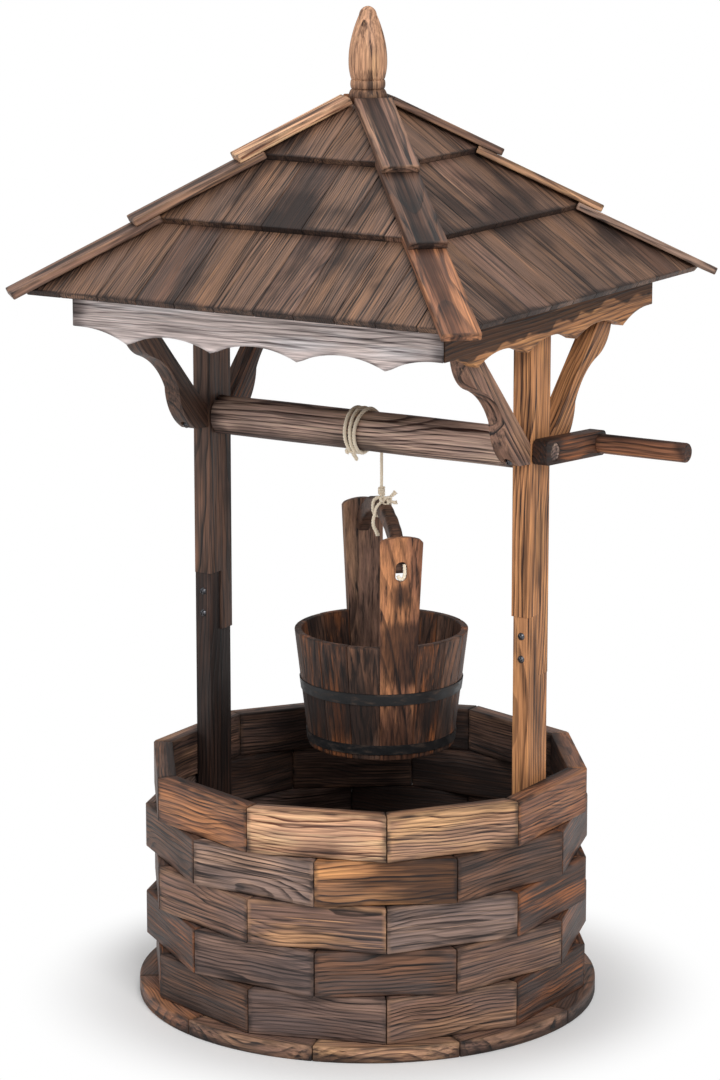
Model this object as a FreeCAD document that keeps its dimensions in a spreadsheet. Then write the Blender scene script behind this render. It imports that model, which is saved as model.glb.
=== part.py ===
# Wishing well planter: a ten-sided timber well with two posts, a windlass with a crank,
# a stave bucket on a rope and a three-tier hipped roof with a turned finial.
# Frame: +Z up, origin on the ground at the well's centre, X along the windlass with the
# crank at +X, and -Y towards the front. Lengths are millimetres, angles degrees.

import FreeCAD, Part
import math
import os
import Sketcher

from FreeCAD import Placement, Rotation, Vector

doc = FreeCAD.newDocument("WishingWell")
sheet = doc.addObject("Spreadsheet::Sheet", "Sizes")


class Size:
    """A number and the spreadsheet formula that gives it, kept together through arithmetic."""

    def __init__(self, value, text):
        self.value = float(value)
        self.text = text

    def _join(self, sign, left, right, value):
        return Size(value, f"({left.text} {sign} {right.text})")

    def __add__(self, other):
        other = as_size(other)
        return self._join("+", self, other, self.value + other.value)

    def __radd__(self, other):
        return as_size(other) + self

    def __sub__(self, other):
        other = as_size(other)
        return self._join("-", self, other, self.value - other.value)

    def __rsub__(self, other):
        return as_size(other) - self

    def __mul__(self, other):
        other = as_size(other)
        return self._join("*", self, other, self.value * other.value)

    def __rmul__(self, other):
        return as_size(other) * self

    def __truediv__(self, other):
        other = as_size(other)
        return self._join("/", self, other, self.value / other.value)

    def __rtruediv__(self, other):
        return as_size(other) / self

    def __neg__(self):
        return Size(-self.value, f"(0 - {self.text})")


def as_size(value):
    return value if isinstance(value, Size) else Size(value, f"{value:.6f}")


def of_angle(name, function, angle):
    return Size(function(math.radians(as_size(angle).value)), f"{name}({as_size(angle).text})")


def sin(angle):
    return of_angle("sin", math.sin, angle)


def cos(angle):
    return of_angle("cos", math.cos, angle)


def tan(angle):
    return of_angle("tan", math.tan, angle)


def root(number):
    return Size(math.sqrt(as_size(number).value), f"sqrt({as_size(number).text})")


next_row = 1


def cell(alias, value, note):
    """Writes one driving size to the sheet and returns it as a Size."""
    global next_row
    sheet.set(f"A{next_row}", note)
    sheet.set(f"B{next_row}", str(value))
    sheet.setAlias(f"B{next_row}", alias)
    next_row += 1
    return Size(value, f"Sizes.{alias}")


def bind(item, **sizes):
    """Binds properties to formulas; two underscores in a name stand for a dot."""
    for name, value in sizes.items():
        path = name.replace("__", ".")
        item.setExpression(path, as_size(value).text)
    return item


# Well wall
ring_radius = cell("ring_radius", 264, "base ring, outer radius")
ring_bore = cell("ring_bore", 190, "base ring, inner radius")
ring_height = cell("ring_height", 18, "base ring, thickness")
course_radius = cell("course_radius", 256, "wall course, radius to its outer corners")
course_height = cell("course_height", 52, "wall course, board height")
wall_thickness = cell("wall_thickness", 22, "wall course, board thickness")
joint_gap = cell("joint_gap", 0.6, "open joint between neighbouring boards")
seat_gap = cell("seat_gap", 0.3, "clearance of a piece slipped against its seat")
floor_thickness = cell("floor_thickness", 12, "floor slats, thickness")
floor_board = cell("floor_board", 58, "floor slats, width")
floor_slot = cell("floor_slot", 10, "drain slot between floor slats")
floor_clearance = cell("floor_clearance", 2, "floor slats, clearance to wall and posts")

# Posts
post_thickness = cell("post_thickness", 22, "upper post, size along X")
post_width = cell("post_width", 44, "upper post, size along Y")
foot_thickness = cell("foot_thickness", 20, "lower post, size along X")
foot_width = cell("foot_width", 42, "lower post, size along Y")
lap_bottom = cell("lap_bottom", 400, "half lap, lower shoulder above the ground")
lap_top = cell("lap_top", 470, "half lap, upper shoulder above the ground")
screw_radius = cell("screw_radius", 2, "screws, shank radius")
screw_head = cell("screw_head", 4.3, "screws, head radius")
screw_dome = cell("screw_dome", 2.6, "screws, head height")
screw_spacing = cell("screw_spacing", 26, "screws, spacing along a post")
fit_gap = cell("fit_gap", 0.1, "clearance round screws, tenons and spigots")
lap_screw_length = cell("lap_screw_length", 34, "half lap screws, shank length")

# Windlass
roller_radius = cell("roller_radius", 23, "windlass log, radius")
windlass_fall = cell("windlass_fall", 168, "windlass axis below the eaves")
journal_radius = cell("journal_radius", 10, "windlass journals, radius")
running_gap = cell("running_gap", 0.08, "journal clearance in the posts, radial")
end_play = cell("end_play", 1, "windlass play along X at each post")
arm_thickness = cell("arm_thickness", 18, "crank arm, size along X")
arm_width = cell("arm_width", 28, "crank arm, depth")
arm_reach = cell("arm_reach", 119, "crank arm, axis to its far end")
arm_tail = cell("arm_tail", 20, "crank arm, axis to its near end")
arm_round = cell("arm_round", 7, "crank arm, corner radius")
crank_droop = cell("crank_droop", 4, "crank arm, fall below level at rest")
grip_radius = cell("grip_radius", 11, "crank handle, radius")
grip_length = cell("grip_length", 110, "crank handle, length outside the arm")
grip_inset = cell("grip_inset", 15, "crank handle, distance from the arm's far end")
grip_tenon = cell("grip_tenon", 7, "crank handle, tenon radius")
grip_round = cell("grip_round", 2.5, "crank handle, end rounding")

# Roof
fascia_thickness = cell("fascia_thickness", 15, "fascia boards, thickness")
fascia_depth = cell("fascia_depth", 36, "fascia boards, underside at the corners below the eaves")
drop_depth = cell("drop_depth", 15, "fascia drops, depth below the corners")
drop_pitch = cell("drop_pitch", 109.5, "fascia drops, spacing")
arch_fall = cell("arch_fall", 3, "fascia arches, crown below the corners")
fascia_flat = cell("fascia_flat", 13, "fascia boards, level stretch at each corner")
roof_pitch = cell("roof_pitch", 34.5, "roof slope from level")
plank_thickness = cell("plank_thickness", 8, "roof planks, thickness")
plank_width = cell("plank_width", 49.5, "roof planks, width before they share out a side")
eave_height = cell("eave_height", 823, "lowest tier, underside of the eave")
eave_half = cell("eave_half", 271, "lowest tier, half width at the eave")
middle_half = cell("middle_half", 175, "middle tier, half width at the eave")
upper_half = cell("upper_half", 92.5, "upper tier, half width at the eave")
tier_overlap = cell("tier_overlap", 30, "how far a tier runs under the next one")
plank_gap = cell("plank_gap", 0.6, "open joint between roof planks")
batten_width = cell("batten_width", 43, "hip battens, width")
batten_overhang = cell("batten_overhang", 11, "hip battens, run past the plank corner")
batten_groove = cell("batten_groove", 3, "hip battens, depth of the grooved underside")
crown_half = cell("crown_half", 17, "upper tier, half width of its opening at the peak")
block_depth = cell("block_depth", 34, "apex block, depth below the finial")
finial_height = cell("finial_height", 106, "finial, height")
finial_radius = cell("finial_radius", 21.4, "finial, largest radius")
spigot_radius = cell("spigot_radius", 6, "finial spigot, radius")
spigot_length = cell("spigot_length", 30, "finial spigot, length")

# Knee brackets
bracket_thickness = cell("bracket_thickness", 20, "knee brackets, thickness")
bracket_lap = cell("bracket_lap", 13, "knee brackets, run up behind the fascia")
bracket_rise = cell("bracket_rise", 157, "knee brackets, height")
bracket_reach = cell("bracket_reach", 143, "knee brackets, reach from the post face")
bracket_neck = cell("bracket_neck", 22.5, "knee brackets, height of the end on the post")
bracket_head = cell("bracket_head", 12.5, "knee brackets, width of the upper end")
bracket_screw_level = cell("bracket_screw_level", 7, "bracket screws, height above the lower tip")
bracket_screw_seat = cell("bracket_screw_seat", 30, "bracket screws, head's distance from the post")
bracket_screw_length = cell("bracket_screw_length", 39, "bracket screws, shank length")

# Rope
rope_radius = cell("rope_radius", 2.25, "rope, radius")
winding_pitch = cell("winding_pitch", 8, "rope winding, pitch on the log")
winding_start = cell("winding_start", -55, "rope winding, angle of its first point from the front")
winding_end = cell("winding_end", 900, "rope winding, angle of its last point from the front")
rope_x = cell("rope_x", 3, "rope, place along the windlass")
knot_radius = cell("knot_radius", 5, "rope knots, radius")
drop_length = cell("drop_length", 63, "rope between the log and the bucket's knot, length")
tail_length = cell("tail_length", 24, "rope tail beside the bucket handle, length")

# Bucket
bucket_height = cell("bucket_height", 135, "bucket, height to the rim")
rim_radius = cell("rim_radius", 99.5, "bucket, outer radius at the rim")
base_radius = cell("base_radius", 83.3, "bucket, outer radius at the underside")
stave_thickness = cell("stave_thickness", 8, "bucket staves, thickness")
stave_gap = cell("stave_gap", 0.4, "open joint between staves")
tall_stave = cell("tall_stave", 264, "handle staves, height")
tall_round = cell("tall_round", 9, "handle staves, corner rounding")
tall_slope = cell("tall_slope", 19, "handle staves, slope of the domed top beside its corners in degrees")
tall_angle = cell("tall_angle", 25.2, "handle staves, share of the bucket's circle in degrees")
stave_turn = cell("stave_turn", -47.3, "bucket, turn of its handle about Z from +X")
hole_width = cell("hole_width", 13, "handle staves, hole width")
hole_height = cell("hole_height", 23, "handle staves, hole height")
hole_drop = cell("hole_drop", 40, "handle staves, hole centre below the top")
croze_height = cell("croze_height", 10, "bucket bottom, height above the underside")
bottom_thickness = cell("bottom_thickness", 8, "bucket bottom, thickness")
hoop_thickness = cell("hoop_thickness", 1.2, "hoops, thickness")
upper_hoop_level = cell("upper_hoop_level", 65.5, "upper hoop, lower edge above the underside")
upper_hoop_width = cell("upper_hoop_width", 13.5, "upper hoop, width")
lower_hoop_level = cell("lower_hoop_level", 6, "lower hoop, lower edge above the underside")
lower_hoop_width = cell("lower_hoop_width", 11.5, "lower hoop, width")
bow_width = cell("bow_width", 15, "bucket handle, thickness")
bow_depth = cell("bow_depth", 17, "bucket handle, depth")
bow_rise = cell("bow_rise", 20, "bucket handle, crown above the handle staves")
bow_radius = cell("bow_radius", 168, "bucket handle, radius of its upper side")
bow_round = cell("bow_round", 3, "bucket handle, edge rounding")
croze_depth = cell("croze_depth", 3, "groove for the bucket bottom, depth")

doc.recompute()

BOARD_COUNT = 10
COURSE_COUNT = 5
SLAT_COUNT = 7
STAVE_COUNT = 16
SIDES = {"front": 0, "right": 90, "back": 180, "left": 270}
HIPS = {"front_right": -45, "back_right": 45, "back_left": 135, "front_left": 225}
board_angle = 360 / BOARD_COUNT
stave_angle = (180 - tall_angle) / (STAVE_COUNT // 2 - 1)

# Places that several pieces share
wall_inside = course_radius * cos(board_angle / 2) - wall_thickness
post_outside = wall_inside - seat_gap
post_inside = post_outside - post_thickness
fascia_outside = post_outside + fascia_thickness
fascia_bottom = eave_height - fascia_depth
bracket_foot = fascia_bottom + bracket_lap - bracket_rise
roller_height = eave_height - windlass_fall
arm_inside = post_outside + end_play
arm_outside = arm_inside + arm_thickness
grip_offset = arm_reach - grip_inset
winding_radius = roller_radius + rope_radius + fit_gap / 2
plank_rise = plank_thickness / cos(roof_pitch)
plank_lean = plank_thickness * sin(roof_pitch)
hip_cos = 1 / root(1 + tan(roof_pitch) * tan(roof_pitch) / 2)
hip_sin = hip_cos * tan(roof_pitch) / root(2)
batten_thickness = plank_rise * hip_cos - seat_gap
stave_slope = (rim_radius - base_radius) / bucket_height
hole_level = tall_stave - hole_drop
bow_crown = tall_stave + bow_rise


def tier_above(half, height, next_half):
    """Half width and height of the eave of the tier that lies on the one given."""
    return next_half, height + (half - next_half) * tan(roof_pitch) + plank_rise


TIERS = {"lower": (eave_half, eave_height)}
TIERS["middle"] = tier_above(*TIERS["lower"], middle_half)
TIERS["upper"] = tier_above(*TIERS["middle"], upper_half)


def roof_top(tier, half):
    """Height of a tier's upper face at a half width of the roof."""
    eave, height = TIERS[tier]
    return height + plank_rise + (eave - half) * tan(roof_pitch)


finial_seat = roof_top("upper", crown_half + plank_lean) + seat_gap
loop_radius = bow_round + fit_gap + rope_radius
drop_top = roller_height - rope_radius * 2 - seat_gap
drop_end = drop_top - drop_length
knot_level = drop_end - seat_gap - knot_radius
bucket_base = knot_level - knot_radius - seat_gap - rope_radius * 2 - fit_gap - bow_crown

nodes = []


def add(kind, name, **sizes):
    return bind(doc.addObject(kind, name), **sizes)


def box(name, x, y, z):
    """A box from pairs of low and high values along each axis."""
    item = add("Part::Box", name, Length=x[1] - x[0], Width=y[1] - y[0], Height=z[1] - z[0])
    return bind(item, Placement__Base__x=x[0], Placement__Base__y=y[0], Placement__Base__z=z[0])


def both_ways(half):
    return -as_size(half), as_size(half)


def span(low, high):
    return as_size(low), as_size(high)


def cylinder(name, radius, low, high, x=0, y=0):
    """An upright cylinder between two heights."""
    item = add("Part::Cylinder", name, Radius=radius, Height=as_size(high) - low)
    return bind(item, Placement__Base__x=x, Placement__Base__y=y, Placement__Base__z=low)


def log(name, radius, low, high, y, z):
    """A cylinder along X between two places."""
    item = add("Part::Cylinder", name, Radius=radius, Height=as_size(high) - low)
    item.Placement = Placement(Vector(), Rotation(Vector(0, 1, 0), 90))
    return bind(item, Placement__Base__x=low, Placement__Base__y=y, Placement__Base__z=z)


def decagon(name, apothem, low, high, turn):
    """An upright ten-sided prism. With no turn it has a corner on +X."""
    item = add("Part::Prism", name, Circumradius=apothem / cos(board_angle / 2), Height=high - low)
    item.Polygon = BOARD_COUNT
    item.Placement = Placement(Vector(), Rotation(Vector(0, 0, 1), turn))
    return bind(item, Placement__Base__z=low)


def pyramid(name, half, low, top_half):
    """A square pyramid with the roof's pitch, cut level where its half width is top_half."""
    item = add(
        "Part::Wedge", name,
        Xmin=-half, Xmax=half, Zmin=-half, Zmax=half,
        X2min=-top_half, X2max=top_half, Z2min=-top_half, Z2max=top_half,
        Ymin=0, Ymax=(half - top_half) * tan(roof_pitch),
    )
    item.Placement = Placement(Vector(), Rotation(Vector(1, 0, 0), 90))
    return bind(item, Placement__Base__z=low)


def fuse(name, *shapes):
    item = doc.addObject("Part::MultiFuse", name)
    item.Shapes = list(shapes)
    return item


def common(name, base, tool):
    item = doc.addObject("Part::Common", name)
    item.Base = base
    item.Tool = tool
    return item


def cut(name, base, *tools):
    item = doc.addObject("Part::Cut", name)
    item.Base = base
    item.Tool = tools[0] if len(tools) == 1 else fuse(f"{name}_cutters", *tools)
    return item


def group(name, *shapes):
    item = doc.addObject("Part::Compound", name)
    item.Links = list(shapes)
    return item


def moved(name, source, angle=0, axis=Vector(0, 0, 1), x=0, y=0, z=0):
    """A copy of the source, turned about an axis through the origin and then shifted."""
    item = group(name, source)
    item.Placement = Placement(Vector(), Rotation(axis, 1))
    bind(item, Placement__Rotation__Angle=angle)
    return bind(item, Placement__Base__x=x, Placement__Base__y=y, Placement__Base__z=z)


def mirrored(name, source, normal):
    item = doc.addObject("Part::Mirroring", name)
    item.Source = source
    item.Normal = normal
    return item


PLANES = {
    "xy": Rotation(),
    "xz": Rotation(Vector(1, 0, 0), 90),
    "yz": Rotation(Vector(1, 1, 1), 120),
}


def bulge(start, end, height, side):
    """The arc from start to end that bulges by a height to the left (1) or the right (-1)."""
    chord = end - start
    left = Vector(-chord.y, chord.x, 0).normalize()
    middle = (start + end) * 0.5 + left * height * side
    return Part.Arc(start, middle, end)


def outline(name, plane, points, arcs=None):
    """A closed sketch through points given as pairs of sizes. arcs maps the number of a side
    to the height of its bulge and the hand it bulges to: 1 is left of the way round."""
    arcs = arcs or {}
    sketch = doc.addObject("Sketcher::SketchObject", name)
    sketch.Placement = Placement(Vector(), PLANES[plane])
    points = [(as_size(x), as_size(y)) for x, y in points]
    corners = [Vector(x.value, y.value, 0) for x, y in points]
    count = len(corners)
    limits = []
    ends = []
    for side, start in enumerate(corners):
        end = corners[(side + 1) % count]
        if side in arcs:
            height, hand = arcs[side]
            height = as_size(height)
            sketch.addGeometry(bulge(start, end, height.value, hand), False)
            along, across = (points[(side + 1) % count][axis] - points[side][axis] for axis in (0, 1))
            radius = (along * along + across * across) / (8 * height) + height / 2
            limits.append((sketch.addConstraint(Sketcher.Constraint("Radius", side, radius.value)), radius))
            ends.append((1, 2) if hand < 0 else (2, 1))
        else:
            sketch.addGeometry(Part.LineSegment(start, end), False)
            ends.append((1, 2))
    for side, place in enumerate(points):
        before = (side - 1) % count
        link = Sketcher.Constraint("Coincident", before, ends[before][1], side, ends[side][0])
        sketch.addConstraint(link)
        for kind, value in zip(("DistanceX", "DistanceY"), place):
            pair = [(-1, 1), (side, ends[side][0])]
            size = value
            if value.value < 0:
                pair.reverse()
                size = -value
            limit = Sketcher.Constraint(kind, *pair[0], *pair[1], size.value)
            limits.append((sketch.addConstraint(limit), size))
    for index, size in limits:
        sketch.setExpression(f"Constraints[{index}]", size.text)
    return sketch


def extrude(name, sketch, direction, length, symmetric=False):
    item = doc.addObject("Part::Extrusion", name)
    item.Base = sketch
    item.DirMode = "Custom"
    item.Dir = direction
    item.Solid = True
    item.Symmetric = symmetric
    return bind(item, LengthFwd=length)


def revolve(name, sketch, axis, angle=360, symmetric=False):
    item = doc.addObject("Part::Revolution", name)
    item.Source = sketch
    item.Axis = axis
    item.Solid = True
    item.Symmetric = symmetric
    return bind(item, Angle=angle)


def quadrant(name, axis_turn, gap, reach, high):
    """An upright wedge that holds a quarter of the plan, drawn towards -Y and then turned."""
    plan = outline(f"{name}_plan", "xy", [(0, -gap), (-reach, -reach - gap), (reach, -reach - gap)])
    return moved(name, extrude(f"{name}_block", plan, Vector(0, 0, 1), high), axis_turn)


def label(name, item):
    """Makes an object a node of the part under a name of its own."""
    item.Label = name
    nodes.append(item)
    return item


# Well wall: a ring of ten segments, five courses of ten boards and the slatted floor
def diametral_saws(name, reach, gap, low, high, count, first, step=None):
    """Thin cutters through the axis, turned by the step, for the open joints of a ring."""
    step = 180 / count if step is None else step
    blade = box(f"{name}_blade", both_ways(reach), both_ways(gap / 2), span(low, high))
    return fuse(name, *(moved(f"{name}_{k}", blade, first + step * k) for k in range(count)))


ring_saws = diametral_saws(
    "ring_saws", ring_radius + 1, joint_gap, -1, ring_height + 1, BOARD_COUNT // 2, 0
)
label("base_ring", cut(
    "BaseRing",
    cylinder("ring_outer", ring_radius, 0, ring_height),
    cylinder("ring_hole", ring_bore, -1, ring_height + 1),
    ring_saws,
))

for number in range(1, COURSE_COUNT + 1):
    turn = board_angle / 2 if number % 2 else 0
    low = ring_height + (number - 1) * course_height
    high = ring_height + number * course_height
    apothem = course_radius * cos(board_angle / 2)
    saws = diametral_saws(
        f"course_{number}_saws", course_radius + 1, joint_gap, low - 1, high + 1, BOARD_COUNT // 2, turn
    )
    label(f"wall_course_{number}", cut(
        f"WallCourse{number}",
        decagon(f"course_{number}_outer", apothem, low, high, turn),
        decagon(f"course_{number}_inner", wall_inside, low - 1, high + 1, turn),
        saws,
    ))

floor_top = ring_height + floor_thickness
slats = []
for number in range(SLAT_COUNT):
    middle = (number - (SLAT_COUNT - 1) / 2) * (floor_board + floor_slot)
    width = span(middle - floor_board / 2, middle + floor_board / 2)
    slats.append(box(f"slat_{number}", both_ways(course_radius), width, span(ring_height, floor_top)))
foot_room = post_outside - foot_thickness - floor_clearance
notch_y = both_ways(foot_width / 2 + floor_clearance)
notches = [
    box("slat_notch_right", span(foot_room, course_radius), notch_y, span(0, floor_top + 1)),
    box("slat_notch_left", span(-course_radius, -foot_room), notch_y, span(0, floor_top + 1)),
]
floor_edge = decagon(
    "floor_edge", wall_inside - floor_clearance, ring_height - 1, floor_top + 1, board_angle / 2
)
label("floor_slats", cut(
    "FloorSlats", common("slats_trimmed", group("slat_boards", *slats), floor_edge), *notches
))


# Screws: a round head on a plain shank, drawn with the head up and its seat at the origin
def screw(name, length):
    profile = outline(
        f"{name}_profile", "xz",
        [
            (0, -length), (screw_radius, -length), (screw_radius, 0), (screw_head, 0),
            (screw_radius / 2, screw_dome), (0, screw_dome),
        ],
        {3: (screw_dome * 0.25, -1)},
    )
    return revolve(name, profile, Vector(0, 0, 1))


lap_screw = screw("lap_screw", lap_screw_length)
bracket_screw = screw("bracket_screw", bracket_screw_length)


# Posts: a lower and an upper length, halved together and screwed, with the windlass bore
foot_centre = post_outside - foot_thickness / 2
lap_middle = (lap_bottom + lap_top) / 2
screw_levels = {"low": lap_middle - screw_spacing / 2, "high": lap_middle + screw_spacing / 2}
under_roof = pyramid(
    "under_roof",
    eave_half + (eave_height - lap_bottom) / tan(roof_pitch), lap_bottom, crown_half,
)
pilot_holes = [
    moved(
        f"pilot_{level}", cylinder(f"pilot_bit_{level}", screw_radius + fit_gap, -lap_screw_length - 1, 1),
        90, Vector(1, 0, 0), foot_centre, -foot_width / 2, height,
    )
    for level, height in screw_levels.items()
]

foot_x = span(post_outside - foot_thickness, post_outside)
foot_y = both_ways(foot_width / 2)
lower_post = cut(
    "lower_post",
    box("foot_stock", foot_x, foot_y, span(ring_height, lap_top)),
    box("foot_halving", span(0, course_radius), span(0, foot_width), span(lap_bottom, lap_top + 1)),
    *pilot_holes,
)

upper_x = span(post_inside, post_outside)
upper_y = both_ways(post_width / 2)
upper_stock = common(
    "upper_stock",
    box("upper_blank", upper_x, upper_y, span(lap_bottom, eave_height + eave_half)), under_roof,
)
upper_post = cut(
    "upper_post",
    upper_stock,
    box("upper_halving", span(0, course_radius), span(-post_width, 0), span(lap_bottom - 1, lap_top)),
    log("windlass_bore", journal_radius + running_gap, 0, course_radius, 0, roller_height),
    *pilot_holes,
)


# Knee brackets: an ogee below, a straight brace above, one on each side of each post
bracket_low = bracket_foot + bracket_screw_level
bracket_curve = [(0.17, 0.013), (0.41, 0.344), (0.78, 0.624), (1, 0.873)]
ogee = [(post_width / 2 + bracket_reach * u, bracket_foot + bracket_rise * v) for u, v in bracket_curve]
bracket_outline = outline(
    "bracket_outline", "yz",
    [
        (post_width / 2, bracket_foot),
        *ogee,
        (post_width / 2 + bracket_reach, bracket_foot + bracket_rise),
        (post_width / 2 + bracket_reach - bracket_head, bracket_foot + bracket_rise),
        (post_width / 2, bracket_foot + bracket_neck),
    ],
    {
        1: (bracket_reach * 0.056, -1),
        2: (bracket_reach * 0.049, 1),
        3: (bracket_reach * 0.049, -1),
    },
)
bracket_stock = moved(
    "bracket_stock",
    extrude("bracket_blank", bracket_outline, Vector(1, 0, 0), bracket_thickness),
    x=post_outside - bracket_thickness,
)
bracket_centre = post_outside - bracket_thickness / 2
screw_face = post_width / 2 + bracket_screw_seat


def towards_back(name, source, y):
    """A piece drawn along Z and laid along Y with its top to the back, on a bracket's screw line."""
    return moved(name, source, -90, Vector(1, 0, 0), bracket_centre, y, bracket_low)


bracket_pilot = towards_back(
    "bracket_pilot",
    cylinder("bracket_bit", screw_radius + fit_gap, -bracket_screw_length - 1, 1), screw_face,
)
bracket_counterbore = towards_back(
    "bracket_counterbore",
    cylinder("counterbore_bit", screw_head + fit_gap, 0, bracket_reach), screw_face,
)
back_bracket = cut("back_bracket", bracket_stock, bracket_pilot, bracket_counterbore)
front_bracket = mirrored("front_bracket", back_bracket, Vector(0, 1, 0))
front_pilot = mirrored("front_pilot", bracket_pilot, Vector(0, 1, 0))
bored_post = cut("bored_post", upper_post, bracket_pilot, front_pilot)

for side, turned_over in (("right", False), ("left", True)):
    for name, piece in (
        ("post_lower", lower_post),
        ("post_upper", bored_post),
        ("bracket_front", front_bracket),
        ("bracket_back", back_bracket),
    ):
        if turned_over:
            label(f"{name}_{side}", mirrored(f"{name}_{side}_shape", piece, Vector(1, 0, 0)))
        else:
            label(f"{name}_{side}", moved(f"{name}_{side}_shape", piece))

right_screws = [
    moved(f"lap_screw_{level}", lap_screw, 90, Vector(1, 0, 0), foot_centre, -foot_width / 2, height)
    for level, height in screw_levels.items()
]
back_screw = towards_back("bracket_screw_back", bracket_screw, screw_face)
right_screws += [back_screw, mirrored("bracket_screw_front", back_screw, Vector(0, 1, 0))]
left_screws = [mirrored(f"left_{piece.Name}", piece, Vector(1, 0, 0)) for piece in right_screws]
label("frame_screws", group("FrameScrews", *right_screws, *left_screws))


# Roof: four fascia boards, three tiers of planks on each side and the hip battens
roof_reach = eave_half + batten_overhang + batten_width
front_quarter = quadrant("front_quarter", 0, plank_gap * 0.7, roof_reach, roof_top("upper", 0))
tips = [(number - 1.5) * drop_pitch for number in range(4)]
tip_height = fascia_bottom - drop_depth
arch_rise = drop_depth - arch_fall
fascia_top = eave_height + (eave_half - post_outside) * tan(roof_pitch) + seat_gap
fascia_points = [
    (-fascia_outside, fascia_bottom),
    (-fascia_outside + fascia_flat, fascia_bottom),
    *((x, tip_height) for x in tips),
    (fascia_outside - fascia_flat, fascia_bottom),
    (fascia_outside, fascia_bottom),
    (fascia_outside, fascia_top),
    (-fascia_outside, fascia_top),
]
fascia_arcs = {1: (arch_rise * 0.3, 1), 5: (arch_rise * 0.3, 1)}
fascia_arcs.update({side: (arch_rise, 1) for side in (2, 3, 4)})
fascia_blank = moved(
    "fascia_blank",
    extrude(
        "fascia_board", outline("fascia_outline", "xz", fascia_points, fascia_arcs),
        Vector(0, 1, 0), fascia_thickness,
    ),
    y=-fascia_outside,
)
fascia = common("fascia", common("fascia_mitred", fascia_blank, front_quarter), under_roof)
for side, angle in SIDES.items():
    label(f"fascia_{side}", moved(f"fascia_{side}_board", fascia, angle))

inner_halves = {
    "lower": middle_half - tier_overlap,
    "middle": upper_half - tier_overlap,
    "upper": crown_half,
}
for tier, (half, height) in TIERS.items():
    inner = inner_halves[tier]
    inner_height = height + (half - inner) * tan(roof_pitch)
    rise = plank_thickness * cos(roof_pitch)
    section = outline(
        f"{tier}_section", "yz",
        [
            (-half, height),
            (-inner, inner_height),
            (-inner - plank_lean, inner_height + rise),
            (-half - plank_lean, height + rise),
        ],
    )
    length = (half + plank_lean) * 2
    blank = extrude(f"{tier}_blank", section, Vector(1, 0, 0), length, symmetric=True)
    count = round(length.value / plank_width.value)
    blades = [
        box(
            f"{tier}_blade_{number}",
            span(
                (number - count / 2) / count * length - plank_gap / 2,
                (number - count / 2) / count * length + plank_gap / 2,
            ),
            span(-roof_reach, 0), span(height - plank_rise, roof_top(tier, 0)),
        )
        for number in range(1, count)
    ]
    mitred = common(f"{tier}_mitred", blank, front_quarter)
    panel = cut(f"{tier}_panel", mitred, group(f"{tier}_blades", *blades))
    for side, angle in SIDES.items():
        label(f"roof_{tier}_{side}", moved(f"roof_{tier}_{side}_planks", panel, angle))

batten_stops = {
    "lower": (middle_half + plank_lean) * root(2) + seat_gap,
    "middle": (upper_half + plank_lean) * root(2) + seat_gap,
    "upper": finial_radius + seat_gap,
}
hip_quarter = quadrant("hip_quarter", 90, 0, roof_reach * 2, roof_top("upper", 0))
# The lower and middle battens run on past the corner of the tier above and are notched round it
batten_ears = {"lower": batten_width / 2, "middle": batten_width / 2, "upper": 0}
for tier, (half, height) in TIERS.items():
    eave = half + plank_lean
    underside = [
        (reach, roof_top(tier, reach / root(2)) - batten_groove / hip_cos)
        for reach in (eave * root(2) + batten_overhang, batten_stops[tier] - batten_ears[tier])
    ]
    (low_reach, low_height), (top_reach, top_height) = underside
    lean = batten_thickness * hip_sin
    rise = batten_thickness * hip_cos
    section = outline(
        f"{tier}_batten_section", "xz",
        [
            (low_reach, low_height),
            (low_reach + lean, low_height + rise),
            (top_reach + lean, top_height + rise),
            (top_reach, top_height),
        ],
    )
    blank = extrude(f"{tier}_batten_blank", section, Vector(0, 1, 0), batten_width, symmetric=True)
    edge_height = roof_top(tier, eave)
    seat = fuse(
        f"{tier}_seat",
        pyramid(f"{tier}_seat_top", eave, edge_height, crown_half / 2),
        box(
            f"{tier}_seat_edge", both_ways(eave), both_ways(eave),
            span(edge_height - batten_groove * 2, edge_height),
        ),
    )
    batten = cut(
        f"{tier}_batten_seated",
        common(f"{tier}_batten_mitred", blank, hip_quarter),
        moved(f"{tier}_seat_turned", seat, 45),
    )
    if tier != "upper":
        corner_half = batten_stops[tier] / root(2)
        corner = box(
            f"{tier}_corner", both_ways(corner_half), both_ways(corner_half),
            span(low_height, roof_top("upper", 0)),
        )
        batten = cut(f"{tier}_batten_notched", batten, moved(f"{tier}_corner_turned", corner, 45))
    for hip, angle in HIPS.items():
        label(f"hip_batten_{tier}_{hip}", moved(f"hip_{tier}_{hip}", batten, angle))


# Peak: a block that the upper planks butt against, and the turned finial on it
block_half = crown_half - seat_gap
spigot_hole = cylinder(
    "spigot_hole", spigot_radius + fit_gap, finial_seat - spigot_length - 1, finial_seat + 1
)
label("apex_block", cut(
    "ApexBlock",
    box(
        "block_stock", both_ways(block_half), both_ways(block_half),
        span(finial_seat - block_depth, finial_seat),
    ),
    spigot_hole,
))

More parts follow.
